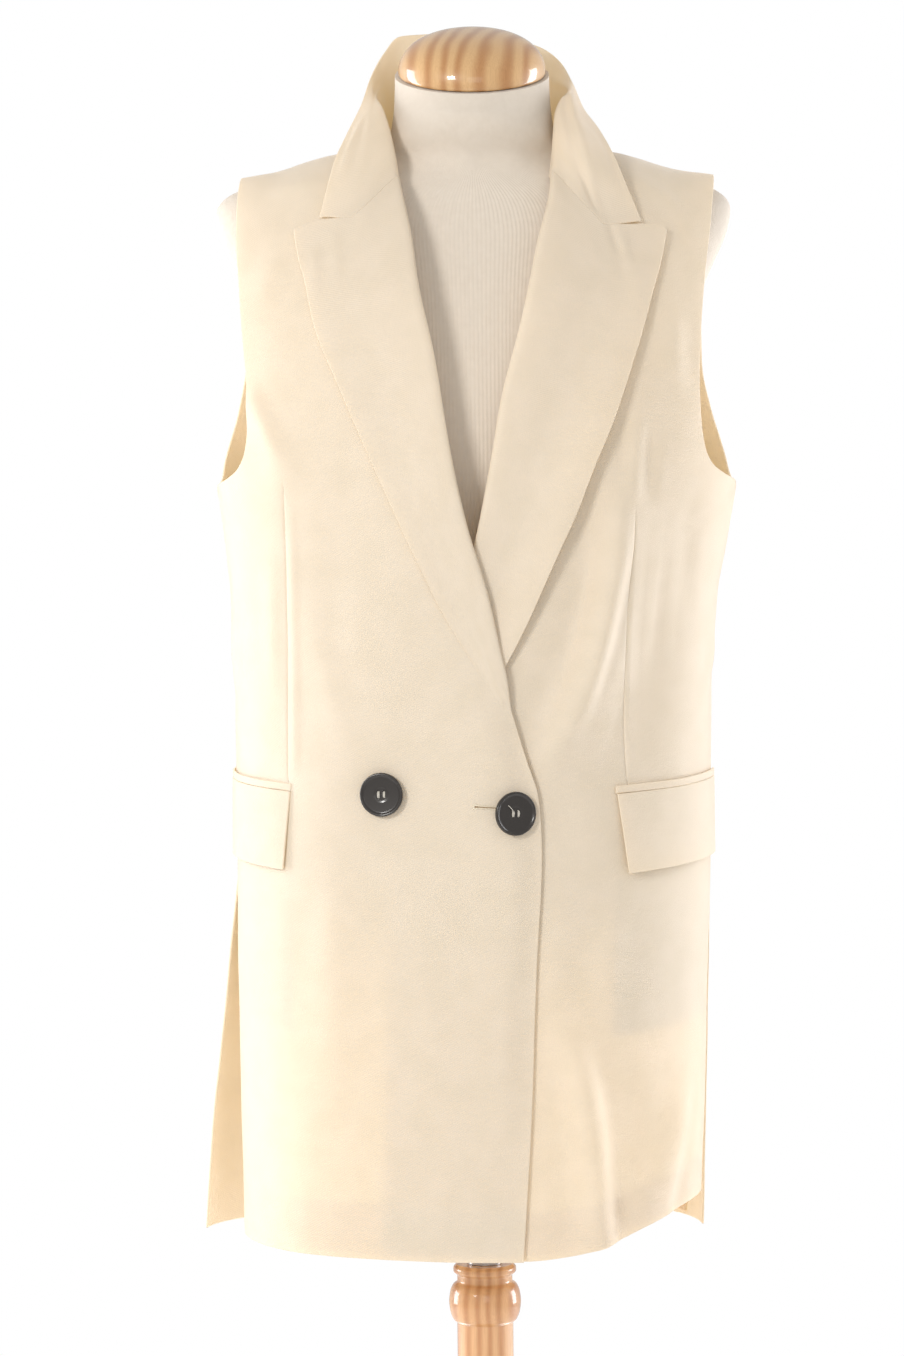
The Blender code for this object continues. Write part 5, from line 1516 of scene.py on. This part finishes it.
def make_torso():
    turn = np.pi + full_turn(TORSO_SIDES)
    rings = np.array([torso_ring(z, np.sin(turn), np.cos(turn)) for z in TORSO_HEIGHTS])
    kept = rings[:TORSO_KEPT].copy()
    for _ in range(TORSO_ROUNDS):
        beside = (np.roll(rings, 1, axis=1) + np.roll(rings, -1, axis=1)) / 2
        rings = 0.5 * rings + 0.5 * beside
        rings[1:-1] = 0.5 * rings[1:-1] + 0.25 * (rings[:-2] + rings[2:])
        rings[:TORSO_KEPT] = kept
    count = len(rings) * TORSO_SIDES
    index = np.arange(count).reshape(-1, TORSO_SIDES)
    vertices = np.concatenate([rings.reshape(-1, 3), [rings[0].mean(0), rings[-1].mean(0)]])
    uv = np.zeros((len(vertices), 2))
    uv[:count, 0] = np.tile(np.linspace(0, TORSO_UV_GIRTH, TORSO_SIDES), len(rings))
    uv[:count, 1] = vertices[:count, 2]
    faces = ring_faces([[count], *index, [count + 1]])
    return add_mesh("form_jersey", vertices, faces, JERSEY, uv, sharp=60)


def make_cap():
    profile = [(0, 0), (CAP_R * 0.965, 0), (CAP_R * 0.99, 0.0004), (CAP_R, 0.0014), (CAP_R, CAP_LIP)]
    for angle in np.radians(np.linspace(4, 88, 22)):
        radius = CAP_R * np.cos(angle) ** CAP_FULLNESS
        profile.append((radius, CAP_LIP + (CAP_RISE - CAP_LIP) * np.sin(angle)))
    profile.append((0, CAP_RISE))
    axis = np.array([0, -np.sin(CAP_TILT), np.cos(CAP_TILT)])
    return lathe_mesh("form_neck_cap", profile, 96, CAP_WOOD, np.array([0, 0, CAP_Z]) + axis * SEAM, axis)


# The turned pole as (radius, height), from its foot up: plinth, shaft, ball, neck and collar.
POLE_PROFILE = (
    (0.056, 0.0283), (0.06, 0.0343), (0.059, 0.0423), (0.056, 0.048), (0.042, 0.056), (0.031, 0.072),
    (0.025, 0.09), (0.0216, 0.11), (0.0216, 0.479), (0.0245, 0.482), (0.0268, 0.488), (0.0277, 0.4955),
    (0.0268, 0.503), (0.0245, 0.5085), (0.0212, 0.5115), (0.0212, 0.5155), (0.0242, 0.519),
    (0.0242, 0.5215), (0.0218, POLE_TOP_Z),
)
# The round base as (radius, height), from the floor up.
BASE_PROFILE = (
    (BASE_R - 0.003, 0), (BASE_R, 0.003), (BASE_R, BASE_T - 0.01), (BASE_R - 0.004, BASE_T - 0.004),
    (BASE_R - 0.014, BASE_T),
)
SEAT_GAP = 0.0003
TUBE_PROFILE = ((TUBE_R, POLE_TOP_Z + SEAT_GAP), (TUBE_R, FORM_BOTTOM_Z - SEAT_GAP))


def rounded(profile, steps):
    """A turned profile with extra points on a smooth curve between its corners."""
    points = np.array(profile, float)
    length = lengths(points)
    where = [np.linspace(a, b, steps, endpoint=False) for a, b in zip(length[:-1], length[1:])]
    where = np.append(np.concatenate(where), length[-1])
    return list(zip(*(hermite(length, column, where) for column in points.T)))


def turned(name, profile, sides, material):
    """A turned solid that stands upright, with flat ends."""
    return lathe_mesh(name, [(0, profile[0][1]), *profile, (0, profile[-1][1])], sides, material)


finish_piece(make_torso(), "beige_jersey", "torso")
finish_piece(make_cap(), "pale_wood", "neck_cap")
finish_piece(turned("stand_base", rounded(BASE_PROFILE, 3), 96, BASE_WOOD), "pale_wood", "base")
finish_piece(turned("stand_pole_turned", rounded(POLE_PROFILE, 4), 72, POLE_WOOD), "pale_wood", "stand_pole")
finish_piece(turned("stand_tube", TUBE_PROFILE, 72, STEEL), "steel_tube", "pole_tube")


# ---- Floor, light and camera ----
FLOOR_R = 1.9
FLOOR_SIDES = 96
FLOOR_Z = -0.0005
FLOOR_T = 0.01
FILL_STRENGTH = 0.645
CAMERA_PLACE = (-0.0203, -2.32, 0.975)
CAMERA_TURN = -0.0108  # radians round the line of sight
LENS_MM = 80
SENSOR_MM = 36


def link(name, data):
    thing = bpy.data.objects.new(name, data)
    bpy.context.scene.collection.objects.link(thing)
    return thing


def make_floor():
    paint = Surface("floor_paint", Roughness=0.8)
    tone = paint.texture("Noise", "Object", (6, 6, 6))
    colour = paint.tones(tone, (232, 232, 231), (237, 237, 236))
    paint.set_inputs(paint.shader, {"Base Color": colour})
    turn = full_turn(FLOOR_SIDES)
    ring = np.stack([FLOOR_R * np.cos(turn), FLOOR_R * np.sin(turn), np.full(FLOOR_SIDES, FLOOR_Z)], -1)
    upper, lower = range(FLOOR_SIDES), range(FLOOR_SIDES, 2 * FLOOR_SIDES)
    faces = [tuple(upper), tuple(reversed(lower)), *ring_faces([lower, upper])]
    vertices = np.concatenate([ring, ring - (0, 0, FLOOR_T)])
    add_mesh("floor", vertices, faces, paint.material, smooth=False)


def area_light(name, place, target, size, power, colour=(1, 1, 1)):
    data = bpy.data.lights.new(name, "AREA")
    data.shape = "RECTANGLE"
    data.size, data.size_y = size
    data.energy = power
    data.color = colour
    place = np.array(place, float)
    away = unit(place - target)
    side = unit(np.cross((0, 0, 1.0), away))
    rows = np.column_stack([side, np.cross(away, side), away, place])
    link(name, data).matrix_world = Matrix([*rows.tolist(), (0, 0, 0, 1)])


def make_light():
    scene = bpy.context.scene
    scene.view_settings.view_transform = "Standard"
    world = bpy.data.worlds.new("studio")
    world.use_nodes = True
    nodes, links = world.node_tree.nodes, world.node_tree.links
    backdrop = nodes["Background"]
    fill = nodes.new("ShaderNodeBackground")
    for node, colour, strength in (
        (backdrop, (1, 1, 1, 1), 1.0),
        (fill, (1.0, 0.995, 0.98, 1), FILL_STRENGTH),
    ):
        node.inputs["Color"].default_value = colour
        node.inputs["Strength"].default_value = strength
    path = nodes.new("ShaderNodeLightPath")
    mix = nodes.new("ShaderNodeMixShader")
    for k, output in enumerate((path.outputs["Is Camera Ray"], fill.outputs[0], backdrop.outputs[0])):
        links.new(output, mix.inputs[k])
    links.new(mix.outputs[0], nodes["World Output"].inputs["Surface"])
    scene.world = world
    for name, x in (("side_left", -1.6), ("side_right", 1.6)):
        area_light(name, (x, 0.52, 1.10), (0, 0, 0.95), (0.6, 1.8), 30, (0.95, 0.96, 1.0))
    area_light("key", (-1.25, -2.05, 1.6), (0, 0, 1.0), (0.5, 0.5), 26, (1.0, 0.985, 0.96))
    area_light("front", (0.2, -2.8, 1.2), (0, 0, 0.95), (1.0, 1.0), 4)
    area_light("under", (0.0, 0.30, 0.06), (0, 0.02, 0.8), (0.5, 0.3), 2.5, (1.0, 0.97, 0.92))


def make_camera():
    data = bpy.data.cameras.new("camera")
    data.lens = LENS_MM
    data.sensor_fit = "AUTO"
    data.sensor_width = SENSOR_MM
    camera = link("camera", data)
    place = Matrix.Translation(CAMERA_PLACE)
    turn = Matrix.Rotation(np.radians(90), 4, "X") @ Matrix.Rotation(CAMERA_TURN, 4, "Z")
    camera.matrix_world = place @ turn
    bpy.context.scene.camera = camera


make_floor()
make_light()
make_camera()
